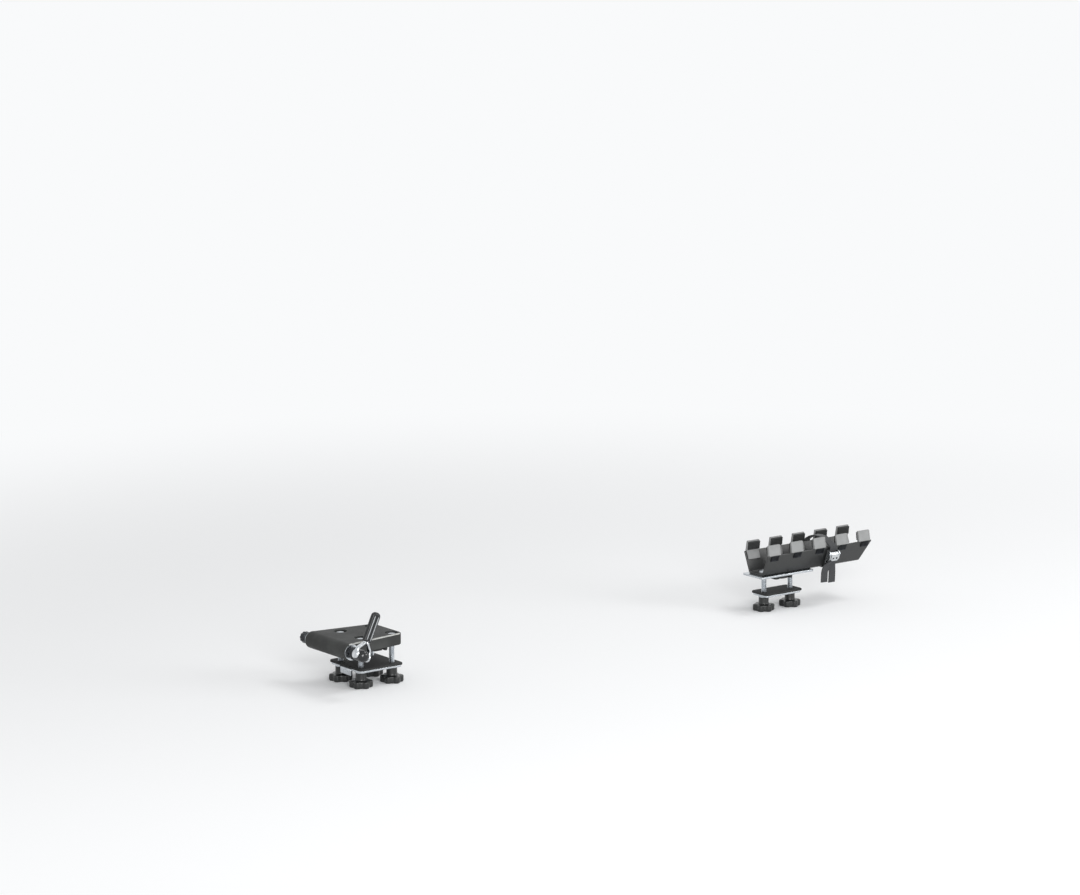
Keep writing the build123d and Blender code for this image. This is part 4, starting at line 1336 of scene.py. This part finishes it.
    def grip_ring(self, height: float) -> list[Point]:
        """Draws the grip's rounded outline at a height.

        Args:
            height: The height above the axle with the lever upright.

        Returns:
            The outline's points.
        """
        half_x, half_y = self.grip_halves(height)
        ring = []
        for turn in (TURN * k / self.grip_sides for k in range(self.grip_sides)):
            deep, wide = math.cos(turn), math.sin(turn)
            ring.append((self.pin_x + half_x * math.copysign(abs(deep) ** self.square_x, deep),
                         half_y * math.copysign(abs(wide) ** self.square_y, wide), height))
        return ring

    def ribs(self) -> Object:
        """Makes the grip's ribs, two along each broad face, whose ends are blunt and low, in vinyl painted
        pale as their highlight.

        Returns:
            The object that holds all four.
        """
        length, steps, sides = self.rib_end - self.rib_start, self.rib_steps, self.rib_sides
        shell = Shell()
        for side, row in ((-1, -1), (-1, 1), (1, -1), (1, 1)):
            rings = []
            for k in range(steps + 1):
                height = self.rib_start + length * k / steps
                half_x, half_y = self.grip_halves(height)
                wide = (self.rib_row / half_y) ** (1.0 / self.square_y)
                face = half_x * (1.0 - wide * wide) ** (self.square_x / 2.0)
                size = max(math.sqrt(1.0 - (2.0 * k / steps - 1.0) ** self.rib_bluntness), self.rib_least)
                ring = []
                for turn in (TURN * number / sides for number in range(sides)):
                    out = side * face + self.rib_height * size * math.cos(turn)
                    y = row * self.rib_row + self.rib_half * size * math.sin(turn)
                    ring.append((self.pin_x + out, y, height))
                rings.append(ring)
            shell.loft(rings)
        return Piece("grip_ribs", shell.mesh("ribs", self.on_axle()), RIB_HIGHLIGHT_VINYL, "cam_lever",
                     ("lever_grip",)).place()

    def grip(self) -> Object:
        """Makes the grip over the tang.

        Returns:
            The grip's object.
        """
        straight = self.grip_end - self.tip_length
        foot = [self.grip_start + step for step in self.foot_steps]
        body = [self.body_start + (straight - self.body_start) * k / self.body_runs
                for k in range(self.body_runs + 1)]
        tip = [straight + self.tip_length * math.sin(math.radians(angle)) * self.tip_reached
               for angle in range(9, 91, 9)]
        shell = Shell()
        shell.loft([self.grip_ring(height) for height in foot + body + tip])
        return Piece("ribbed_grip", shell.mesh("grip", self.on_axle()), GRIP_VINYL, "cam_lever",
                     ("lever_grip",)).place()

    def nut(self) -> Object:
        """Makes the far nut: a round collar, a groove and a fluted body with a domed end.

        Returns:
            The nut's object.
        """
        radius, bore = self.nut_radius, self.nut_bore
        collar = [(radius - 0.5, 0.0), (radius, 0.4), (radius, 3.4), (radius - 0.3, 3.9)]
        groove = [(radius - 0.9, 4.2), (radius - 0.9, 4.9)]
        fluted = [(radius - 0.2, 5.4), (radius, 6.2), (radius, 10.4), (radius - 0.5, 11.6),
                  (radius - 1.8, 12.5)]
        dome = [(radius - 3.6, 12.95), (3.0, 13.0), (bore, 12.6)]
        first = len(collar + groove) + 1

        def swell(number: int, turn: float) -> float:
            """Presses the flutes into the body."""
            pressed = first <= number < first + len(fluted)
            return -self.flute_depth * (1.0 - math.cos(self.nut_flutes * turn)) ** 0.8 if pressed else 0.0

        shell = Shell()
        shell.turned([(bore, 0.0), *collar, *groove, *fluted, *dome, (bore, 0.0)], sides=self.nut_sides,
                     swell=swell)
        turn = Matrix.Translation((self.nut_face, 0.0, 0.0)) @ Matrix.Rotation(-QUARTER, 4, "Y")
        return Piece("fluted_nut", shell.mesh("nut", self.on_axle() @ turn), BLACK_OXIDE, "skewer_nut",
                     ("skewer_nut",)).place()

    def build(self) -> list[Object]:
        """Makes the lever's pieces and the nut."""
        return [self.yoke(), self.grip(), self.ribs(), self.nut()]


# Wheel cradle


@dataclass
class WheelTrough:
    """The bent sheet channel and the steel plate under it."""

    sheet: float = 2.5
    floor_half: float = 15.5
    slant: float = 15.0
    bend: float = 2.6
    edge: float = 0.5
    plate_corner: float = 3.0
    plate_hole: float = 5.7
    plate_edge: float = 0.5

    def build(self) -> list[Object]:
        """Makes the channel and its base plate.

        Returns:
            Both objects.
        """
        low, high = box_mm("trough")
        lean = (high.x - self.floor_half) / (high.z - low.z)
        inward = self.sheet / 2.0 * math.sqrt(1.0 + lean * lean)
        level = low.z + self.sheet / 2.0
        foot = self.floor_half - inward + (level - low.z) * lean
        top = high.x - inward
        route = rounded([(top, high.z), (foot, level), (-foot, level), (-top, high.z)],
                        [0.0, self.bend, self.bend, 0.0])
        shell = Shell()
        shell.sheet(route, self.sheet, lambda z: low.y,
                    lambda z: high.y - self.slant * (high.z - z) / (high.z - low.z))
        channel = Piece("bent_channel", shell.mesh("channel"), COATED_STEEL, "root", ("trough",), self.edge)
        plate_low, plate_high = box_mm("base_plate")
        outline = oblong(plate_low.to_2d(), plate_high.to_2d(), self.plate_corner)
        holes = [(x, y, self.plate_hole) for x, y in BarClamps().middles("rear", 2)]
        mesh = blank(outline, holes, plate_low.z, plate_high.z, self.plate_edge)
        plate = Piece("cut_base_plate", mesh, ZINC, "root", ("base_plate",))
        return [channel.place(), plate.place()]


@dataclass
class WheelTabs:
    """The ten moulded tabs with their ribbed pads, and the spring clips on the walls below them."""

    count: int = 5
    rise: float = 16.0
    thick: float = 3.6
    foot_thick: float = 2.1
    leg_thick: float = 2.0
    lean: float = 3.0
    leg: float = 12.0
    wall: float = 2.7
    wall_lean: float = 0.40625
    edge: float = 0.8
    edge_turn: float = 40.0
    panel_facing: float = 0.9
    panel_margin: float = 1.7
    panel_depth: float = 0.35
    pad_thick: float = 2.4
    pad_sunk: float = 0.1
    pad_margin: float = 1.5
    pad_side: float = 0.5
    pad_edge: float = 0.2
    pad_rim: float = 0.6
    pad_teeth: int = 5
    # A tooth's points: how far below the crest, and at what share of its height
    tooth: tuple[Flat, ...] = ((0.7, 0.0), (0.0, 0.3), (0.0, 0.7), (0.7, 1.0))
    clip_width: float = 15.0
    clip_height: float = 8.0
    clip_thick: float = 0.9
    clip_edge: float = 0.25
    clip_drop: float = 0.5
    clip_play: float = 0.02
    lip_height: float = 1.6
    lip_out: float = 0.9
    lip_bend: float = 1.5

    def sided(self, shell: Shell, side: int) -> Mesh:
        """Makes a mesh drawn on the near side, or its mirror image on the far side."""
        return shell.mesh("tab", Matrix.Scale(float(side), 4, (1.0, 0.0, 0.0)))

    def tab(self, node: str, side: int) -> Object:
        """Makes a tab with rounded edges and a shallow panel on its outer face.

        Args:
            node: The node of the frame that the tab stands for.
            side: 1 on the near side and -1 on the far side.

        Returns:
            The tab's object.
        """
        low, high = box_mm(node)
        wall_top = high.z - self.rise
        outer = max(abs(low.x), abs(high.x))
        leg_z = wall_top - self.leg
        inner_wall = outer - self.wall - self.leg * self.wall_lean
        shell = Shell()
        shell.prism([(outer, wall_top), (outer - self.lean, high.z),
                     (outer - self.lean - self.thick, high.z),
                     (outer - self.wall - self.foot_thick, wall_top),
                     (inner_wall - self.leg_thick, leg_z), (inner_wall, leg_z),
                     (outer - self.wall, wall_top)], low.y, high.y)
        mesh = softened(self.sided(shell, side), self.edge, self.edge_turn)
        work = bmesh.new()
        work.from_mesh(mesh)
        facing = [face for face in work.faces if face.normal.x * side > self.panel_facing]
        panel = max(facing, key=lambda face: face.calc_area())
        bmesh.ops.inset_region(work, faces=[panel], thickness=self.panel_margin * MM)
        bmesh.ops.inset_region(work, faces=[panel], thickness=self.panel_depth * MM,
                               depth=-self.panel_depth * MM)
        work.to_mesh(mesh)
        work.free()
        return Piece(node + "_moulded", tidied(mesh), TAB_RUBBER, "root", (node,)).place()

    def pads(self, side: int, name: str) -> Object:
        """Makes one side's black pads, ribbed where they grip the tyre.

        Args:
            side: 1 on the near side and -1 on the far side.
            name: The side's name, near or far.

        Returns:
            The object that holds the side's pads.
        """
        low, high = box_mm(f"{name}_tab_1")
        top, wall_top = high.z, high.z - self.rise
        outer = max(abs(low.x), abs(high.x))
        face_low, face_high = outer - self.wall - self.foot_thick, outer - self.lean - self.thick
        first, last = wall_top + self.pad_margin, top - self.pad_margin

        def face_x(z: float) -> float:
            """Gives where the tab's inner face is at a height."""
            return face_low + (face_high - face_low) * (z - wall_top) / self.rise

        section = [(face_x(z) + self.pad_sunk, z) for z in (first, last)]
        step = (last - first - 2.0 * self.pad_rim) / self.pad_teeth
        for number in range(self.pad_teeth):
            z = last - self.pad_rim - number * step
            crest = face_x(z) - self.pad_thick
            section += [(crest + depth, z - share * step) for depth, share in self.tooth]
        shell = Shell()
        for number in range(1, self.count + 1):
            low, high = box_mm(f"{name}_tab_{number}")
            shell.prism(section, low.y + self.pad_side, high.y - self.pad_side)
        return Piece(f"{name}_ribbed_pads", self.sided(shell, side), BLACK_RUBBER, "root",
                     (f"{name}_tab_grips",), self.pad_edge).place()

    def clips(self, side: int, name: str) -> Object:
        """Makes one side's spring clips, each with a lip that stands off the wall.

        Args:
            side: 1 on the near side and -1 on the far side.
            name: The side's name, near or far.

        Returns:
            The object that holds the side's clips.
        """
        low, high = box_mm(f"{name}_tab_1")
        wall_top = high.z - self.rise - self.clip_drop
        outer = max(abs(low.x), abs(high.x)) + self.clip_thick / 2.0 + self.clip_play
        foot = wall_top - self.clip_height

        def wall_x(z: float) -> float:
            """Gives where the middle of a clip on the wall is at a height."""
            return outer - (wall_top - z) * self.wall_lean

        lip = foot + self.lip_height
        route = rounded([(wall_x(wall_top), wall_top), (wall_x(lip), lip),
                         (wall_x(foot) + self.lip_out, foot)], [0.0, self.lip_bend, 0.0])
        shell = Shell()
        for number in range(1, self.count + 1):
            low, high = box_mm(f"{name}_tab_{number}")
            middle, half = (low.y + high.y) / 2.0, self.clip_width / 2.0
            shell.sheet(route, self.clip_thick, lambda z: middle - half, lambda z: middle + half)
        return Piece(f"{name}_spring_clips", self.sided(shell, side), SPRING_STEEL, "root",
                     (f"{name}_tab_clips",), self.clip_edge).place()

    def build(self) -> list[Object]:
        """Makes both sides' tabs, pads and clips.

        Returns:
            Their objects.
        """
        made = []
        for side, name in ((1, "near"), (-1, "far")):
            made += [self.tab(f"{name}_tab_{number}", side) for number in range(1, self.count + 1)]
            made += [self.pads(side, name), self.clips(side, name)]
        return made


# Wheel strap and buckle


@dataclass
class WheelStrap:
    """The webbing strap over the rim, its spare end, and the cam buckle that grips it."""

    middle: float = 839.5
    width: float = 13.0
    web: float = 1.6
    gap: float = 0.3
    wall_top: float = 40.0
    wall_half: float = 28.5
    floor: float = 8.0
    floor_half: float = 15.5
    arch_half: float = 13.0
    arch_rise: float = 12.0
    lean: float = 15.92
    lean_x: float = 32.5
    lean_z: float = 41.0
    anchor_x: float = 30.7
    anchor_z: float = 16.35
    selvedge: float = 0.6
    loop_radius: float = 2.55
    loop_runs: int = 18
    sewn: float = 9.5
    # How far past the floor's near and far corners the strap turns up, and out and up past the wall's edge
    near_turn: float = 2.0
    far_turn: float = 1.8
    edge_out: float = 0.6
    edge_up: float = 1.5
    bends: tuple[float, ...] = (0.0, 3.0, 4.0, 4.0, 38.0, 38.0, 4.0, 6.0, 6.0, 30.0, 0.0)
    held: float = 6.5
    tail_set: float = 3.8
    tail_drop: float = 0.5
    tail_end: float = -15.0
    tail_sway: Flat = (0.5, -0.2)
    # The spare end's route: how far ahead of the strap's middle, and how high
    spare_route: tuple[Flat, ...] = ((4.2, 17.2), (16.5, 7.0), (17.1, -12.5))
    spare_bend: float = 11.0
    spare_lift: float = 0.4
    gathered: float = 15.0
    gathered_share: float = 0.3
    cheek: float = 2.0
    cheek_gap: float = 1.0
    cheek_edge: float = 0.35
    cheek_turns: tuple[float, ...] = (0.6, 3.8, 3.8, 0.8, 1.5, 1.5, 0.0, 0.0)
    # Where the cheek's arm starts: how far out behind the back plate, and how far up it
    toe_out: float = 0.6
    toe_up: float = 1.0
    back: float = 30.0
    back_thick: float = 1.4
    back_inset: float = 0.3
    depth: float = 10.0
    top: float = 35.0
    bottom: float = 20.0
    bar_radius: float = 1.6
    bar_edge: float = 0.3
    bar_inset: float = 0.1
    pin_x: float = 37.4
    pin_z: float = 30.5
    pin_hole: float = 1.52
    hub: float = 3.8
    hub_runs: int = 24
    hub_step: float = 12.0
    thumb_thick: float = 2.6
    thumb_end: float = 20.3
    thumb_half: float = 7.0
    thumb_edge: float = 0.25
    plate_drops: Flat = (3.9, 1.0)
    plate_turns: tuple[float, ...] = (0.0, 1.0, 1.1, 0.0)
    # Over what length the lever's two sides are rounded, and by how much its hub, end and faces draw in
    side_length: float = 2.4
    hub_inset: float = 1.7
    end_inset: float = 2.6
    outer_inset: float = 0.8
    inner_inset: float = 0.3
    side_shares: tuple[float, ...] = (1.0, 0.985, 0.95, 0.9, 0.83, 0.75, 0.66)
    hole_row: float = 3.4
    hole_z: float = 25.0
    hole_radius: float = 1.5
    drill_half: float = 6.0

    def leaning(self) -> Matrix:
        """Leans the upright buckle in with the wall.

        Returns:
            The turn about the wall's edge, in millimetres.
        """
        pivot = Vector((self.lean_x, 0.0, self.lean_z))
        turn = Matrix.Rotation(math.radians(self.lean), 4, "Y")
        return Matrix.Translation(pivot) @ turn @ Matrix.Translation(-pivot)

    def leant(self, x: float, z: float) -> Flat:
        """Gives where a place of the upright buckle goes as it leans."""
        place = self.leaning() @ Vector((x, 0.0, z))
        return place.x, place.z

    def tail_top(self) -> Flat:
        """Gives where the strap's tail has left the buckle and starts to hang."""
        return self.leant(self.lean_x + self.tail_set, self.anchor_z - self.tail_drop)

    def section(self) -> list[Flat]:
        """Draws the webbing's section: flat, with rounded selvedges."""
        half = Vector((self.width / 2.0, self.web / 2.0))
        return oblong(-half, half, self.selvedge)

    def route(self) -> list[Flat]:
        """Lays the strap: sewn back on itself round the buckle's bar, under the floor, over and down.

        Returns:
            The (x, z) points of the webbing's middle line.
        """
        bar = Vector(self.leant(self.anchor_x, self.anchor_z))
        under = self.floor - self.gap - self.web / 2.0
        near_foot = Vector((self.floor_half + self.near_turn, under))
        away = (near_foot - bar).normalized()
        inner = Vector((away.y, -away.x))
        start = bar + inner * self.loop_radius
        if start.y < bar.y:
            start = bar - inner * self.loop_radius
        radius, first_angle = self.loop_radius, math.atan2(start.y - bar.y, start.x - bar.x)
        loop = []
        for k in range(self.loop_runs + 1):
            angle = first_angle - math.pi / self.loop_runs * k
            loop.append((bar.x + radius * math.cos(angle), bar.y + radius * math.sin(angle)))
        sewn = start + away * self.sewn + (bar - start).normalized() * (self.loop_radius - self.web)
        arch_z = self.wall_top + self.arch_rise + self.web / 2.0
        wall = self.wall_half + self.gap + self.web / 2.0 + self.edge_out
        tail, tail_z = self.tail_top()
        corners = [loop[-1], tuple(near_foot), (-(self.floor_half + self.far_turn), under),
                   (-wall, self.wall_top + self.edge_up), (-self.arch_half, arch_z),
                   (self.arch_half, arch_z), (self.lean_x, self.lean_z),
                   self.leant(self.lean_x, self.anchor_z + self.held), (tail, tail_z),
                   (tail + self.tail_sway[0], (tail_z + self.tail_end) / 2.0),
                   (tail + self.tail_sway[1], self.tail_end)]
        return [tuple(sewn)] + loop + rounded(corners, self.bends)[1:]

    def strap(self) -> Object:
        """Makes the strap.

        Returns:
            Its object.
        """
        shell = Shell()
        shell.sweep(self.route(), self.section(), middle=self.middle)
        return Piece("woven_strap", shell.mesh("strap"), WEBBING, "root", ("strap",)).place()

    def spare(self) -> Object:
        """Makes the spare end: gathered where it leaves the buckle, then hanging flat beside the tail.

        Returns:
            Its object.
        """
        face = self.tail_top()[0] + self.web + self.gap
        path = rounded([(self.middle - ahead, z) for ahead, z in self.spare_route],
                       [0.0, self.spare_bend, 0.0])
        shell = Shell()
        rings = []
        gone = 0.0
        for number, (point, move) in enumerate(zip(path, sideways(path))):
            gone += (Vector(point) - Vector(path[number - 1])).length if number else 0.0
            spread = min(gone / self.gathered, 1.0)
            eased = spread * spread * (3.0 - 2.0 * spread)
            width = self.gathered_share + (1.0 - self.gathered_share) * eased
            lift = self.spare_lift * math.sin(math.pi * number / (len(path) - 1))
            ring = []
            for across, out in self.section():
                place = Vector(point) + move.normalized() * across * width
                ring.append((face + lift + out, place.x, place.y))
                shell.weave.append((across, gone))
            rings.append(ring)
        shell.loft(rings)
        return Piece("woven_spare_end", shell.mesh("spare"), WEBBING, "root", ("strap_spare_end",)).place()

    def buckle_frame(self) -> Object:
        """Makes the pressed frame: a back plate, two cheeks with arms, and the bar for the sewn loop.

        Returns:
            Its object.
        """
        half = self.width / 2.0 + self.cheek_gap + self.cheek
        front, radius, edge = self.back + self.depth, self.bar_radius, self.bar_edge
        low_z = self.anchor_z - radius
        outline = rounded([(self.back, self.top), (front, self.top), (front, self.bottom),
                           (self.anchor_x + radius, self.bottom), (self.anchor_x + radius, low_z),
                           (self.anchor_x - radius, low_z), (self.back - self.toe_out, self.bottom),
                           (self.back, self.bottom + self.toe_up)], self.cheek_turns, closed=True)
        parts = []
        for side in (-1, 1):
            low, high = sorted((side * (half - self.cheek), side * half))
            cheek = blank(outline, [(self.pin_x, self.pin_z, self.pin_hole)], -high, -low, self.cheek_edge)
            cheek.transform(Matrix.Rotation(QUARTER, 4, "X"))
            parts.append(cheek)
        back = Shell()
        back_half = half - self.back_inset
        back.block((self.back, -back_half, self.bottom), (self.back + self.back_thick, back_half, self.top))
        parts.append(back.mesh("back"))
        bar = Shell()
        end = half - self.bar_inset
        bar.turned([(0.0, -end), (radius - edge, -end), (radius, edge - end), (radius, end - edge),
                    (radius - edge, end), (0.0, end)], sides=POST_SIDES)
        bar_place = Matrix.Translation((self.anchor_x, 0.0, self.anchor_z))
        parts.append(bar.mesh("bar", bar_place @ Matrix.Rotation(-QUARTER, 4, "X")))
        mesh = moved(joined(parts), self.leaning() @ Matrix.Translation((0.0, self.middle, 0.0)))
        return Piece("pressed_buckle_frame", mesh, CHROME, "root", ("buckle_frame",)).place()

    def thumb_ring(self, y: float) -> list[Point]:
        """Draws the thumb lever's section at a place across it.

        Args:
            y: The place across the lever, from its middle.

        Returns:
            The section, smaller towards the lever's two ends.
        """
        past = max((abs(y) - self.thumb_half + self.side_length) / self.side_length, 0.0)
        drawn_in = 1.0 - math.sqrt(max(1.0 - past * past, 0.0))
        hub = self.hub - self.hub_inset * drawn_in
        end = self.thumb_end + self.end_inset * drawn_in
        outer = self.pin_x + self.hub - self.outer_inset * past ** 3
        inner = self.pin_x + self.hub - self.thumb_thick + self.inner_inset * past ** 3
        arc = []
        for k in range(self.hub_runs + 1):
            angle = math.radians(self.hub_step * k)
            arc.append((self.pin_x + hub * math.cos(angle), self.pin_z + hub * math.sin(angle)))
        inner_top, outer_top = [self.pin_z - drop for drop in self.plate_drops]
        tip = rounded([(inner, inner_top), (inner, end), (outer, end), (outer, outer_top)], self.plate_turns)
        return [(x, self.middle + y, z) for x, z in arc + tip]

    def thumb(self) -> Object:
        """Makes the thumb lever: a hub with rounded ends, and a plate with two holes.

        Returns:
            Its object.
        """
        stations = [self.thumb_half * share for share in self.side_shares]
        places = [-place for place in stations] + stations[::-1]
        shell = Shell()
        shell.loft([self.thumb_ring(y) for y in places])
        drill = Shell()
        radius, deep = self.hole_radius, self.drill_half
        for side in (-1, 1):
            drill.turned([(0.0, -deep), (radius, -deep), (radius, deep), (0.0, deep)], x=-self.hole_z,
                         y=self.middle + side * self.hole_row, sides=POST_SIDES)
        across = Matrix.Translation((self.pin_x + self.hub, 0.0, 0.0)) @ Matrix.Rotation(QUARTER, 4, "Y")
        mesh = moved(drilled(shell.mesh("thumb"), drill.mesh("drill", across)), self.leaning())
        return Piece("cast_thumb_lever", mesh, CHROME, "buckle_lever", ("buckle_lever",),
                     self.thumb_edge).place()

    def build(self) -> list[Object]:
        """Makes the webbing and the buckle."""
        return [self.strap(), self.spare(), self.buckle_frame(), self.thumb()]


# Studio and camera


@dataclass
class Studio:
    """A plain pale floor, soft lamps and the photograph's viewpoint."""

    floor_half: float = 60.0
    floor_middle: float = 0.42
    floor_colour: str = "#f7f8f9"
    floor_roughness: float = 0.9
    backdrop_colour: str = "#f9fafb"
    fade_start: float = 0.6
    fade_end: float = 2.0
    fill: float = 0.5
    image_width: float = 1080.0
    image_height: float = 895.0
    focal_pixels: float = 3800.0
    sensor: float = 36.0
    azimuth: float = 52.8
    elevation: float = 10.5
    distance: float = 5.266
    farthest: float = 100.0
    aim: Point = (0.0, -0.058, 0.010)
    aim_pixel: Flat = (331.5, 645.8)
    lit: Point = (0.0, 0.4, 0.0)
    # Each lamp's name, place, side and power
    lamps: tuple[tuple[str, Point, float, float], ...] = (
        ("key", (3.6, -1.5, 1.3), 2.0, 130.0), ("side", (3.0, 2.8, 1.1), 1.6, 50.0),
        ("top", (0.5, 2.4, 3.2), 1.4, 32.0))

    def showing(self, tree: Tree) -> Socket:
        """Finds the rays that show the backdrop.

        Args:
            tree: The node tree of a material or of the world.

        Returns:
            A socket that is 1 for the camera's rays and for those of gloss and glass.
        """
        rays = add_node(tree, "ShaderNodeLightPath").outputs
        direct = add_node(tree, "ShaderNodeMath", {"operation": "MAXIMUM"},
                          {0: rays["Is Camera Ray"], 1: rays["Is Glossy Ray"]})
        either = add_node(tree, "ShaderNodeMath", {"operation": "MAXIMUM"},
                          {0: direct.outputs[0], 1: rays["Is Transmission Ray"]})
        return either.outputs[0]

    def paper(self) -> bpy.types.Material:
        """Makes the floor's paper, which keeps the carrier's shadow and is evenly pale further off.

        Returns:
            The floor's material.
        """
        material = bpy.data.materials.new("floor_paper")
        material.use_nodes = True
        tree = material.node_tree
        shader = tree.nodes["Principled BSDF"]
        shader.inputs["Base Color"].default_value = linear(self.floor_colour)
        shader.inputs["Roughness"].default_value = self.floor_roughness
        place = add_node(tree, "ShaderNodeTexCoord").outputs["Object"]
        reach = add_node(tree, "ShaderNodeVectorMath", {"operation": "LENGTH"}, {0: place})
        far = add_node(tree, "ShaderNodeMapRange", {"interpolation_type": "SMOOTHSTEP",
                                                    "From Min": self.fade_start, "From Max": self.fade_end},
                       {"Value": reach.outputs["Value"]})
        share = add_node(tree, "ShaderNodeMath", {"operation": "MULTIPLY"},
                         {0: far.outputs["Result"], 1: self.showing(tree)})
        plain = add_node(tree, "ShaderNodeEmission", {"Color": linear(self.backdrop_colour)})
        mixed = add_node(tree, "ShaderNodeMixShader",
                         links={0: share.outputs[0], 1: shader.outputs[0], 2: plain.outputs[0]})
        tree.links.new(mixed.outputs[0], tree.nodes["Material Output"].inputs["Surface"])
        return material

    def floor(self, level: float) -> None:
        """Makes the floor that the carrier stands on.

        Args:
            level: The floor's height.
        """
        half = self.floor_half
        corners = [(-half, -half, 0.0), (half, -half, 0.0), (half, half, 0.0), (-half, half, 0.0)]
        mesh = bpy.data.meshes.new("floor")
        mesh.from_pydata(corners, [], [(0, 1, 2, 3)])
        mesh.materials.append(self.paper())
        floor = bpy.data.objects.new("floor", mesh)
        floor.location = (0.0, self.floor_middle, level)
        bpy.context.scene.collection.objects.link(floor)

    def lamp(self, name: str, place: Point, size: float, power: float) -> None:
        """Adds a square soft lamp that looks at the carrier's middle.

        Args:
            name: The lamp's name.
            place: Where it hangs.
            size: Its side.
            power: Its power in watts.
        """
        data = bpy.data.lights.new(name, "AREA")
        data.shape = "SQUARE"
        data.size = size
        data.energy = power
        lamp = bpy.data.objects.new(name, data)
        bpy.context.scene.collection.objects.link(lamp)
        lamp.location = place
        towards = Vector(self.lit) - Vector(place)
        lamp.rotation_euler = towards.to_track_quat("-Z", "Y").to_euler()

    def world(self) -> None:
        """Fills the world with plain light, seen as the pale backdrop."""
        world = bpy.data.worlds.new("studio")
        world.use_nodes = True
        tree = world.node_tree
        shades = {"data_type": "RGBA", 6: (self.fill, self.fill, self.fill, 1.0),
                  7: linear(self.backdrop_colour)}
        light = add_node(tree, "ShaderNodeMix", shades, {0: self.showing(tree)})
        tree.links.new(light.outputs[2], tree.nodes["Background"].inputs["Color"])
        bpy.context.scene.world = world

    def camera(self) -> None:
        """Puts the camera where the photograph was taken from."""
        data = bpy.data.cameras.new("camera")
        data.sensor_width = self.sensor
        data.lens = self.focal_pixels / self.image_width * self.sensor
        data.clip_end = self.farthest
        camera = bpy.data.objects.new("camera", data)
        bpy.context.scene.collection.objects.link(camera)
        turn, rise = math.radians(self.azimuth), math.radians(self.elevation)
        ahead = Vector((-math.sin(turn) * math.cos(rise), math.cos(turn) * math.cos(rise), -math.sin(rise)))
        right = Vector((math.cos(turn), math.sin(turn), 0.0))
        above = right.cross(ahead)
        across = (self.aim_pixel[0] - self.image_width / 2.0) / self.focal_pixels
        down = (self.aim_pixel[1] - self.image_height / 2.0) / self.focal_pixels
        place = Vector(self.aim) - self.distance * (ahead + right * across - above * down)
        axes = Matrix((right, above, -ahead)).transposed().to_4x4()
        camera.matrix_world = Matrix.Translation(place) @ axes
        bpy.context.scene.camera = camera

    def build(self) -> None:
        """Makes the floor, the lamps, the world and the camera."""
        self.floor(CAD_BOX[0].z)
        for lamp in self.lamps:
            self.lamp(*lamp)
        self.world()
        self.camera()
        bpy.context.scene.view_settings.view_transform = "Standard"


def main() -> None:
    """Builds the sub-assemblies in order, then the studio."""
    logging.basicConfig(level=logging.INFO, format="%(message)s")
    finish_nodes()
    for sub_assembly in (BarClamps(), QuickRelease(), WheelTrough(), WheelTabs(), WheelStrap()):
        made = sub_assembly.build()
        LOG.info("%s made %d pieces", type(sub_assembly).__name__, len(made))
    Studio().build()


if __name__ == "__main__":
    main()
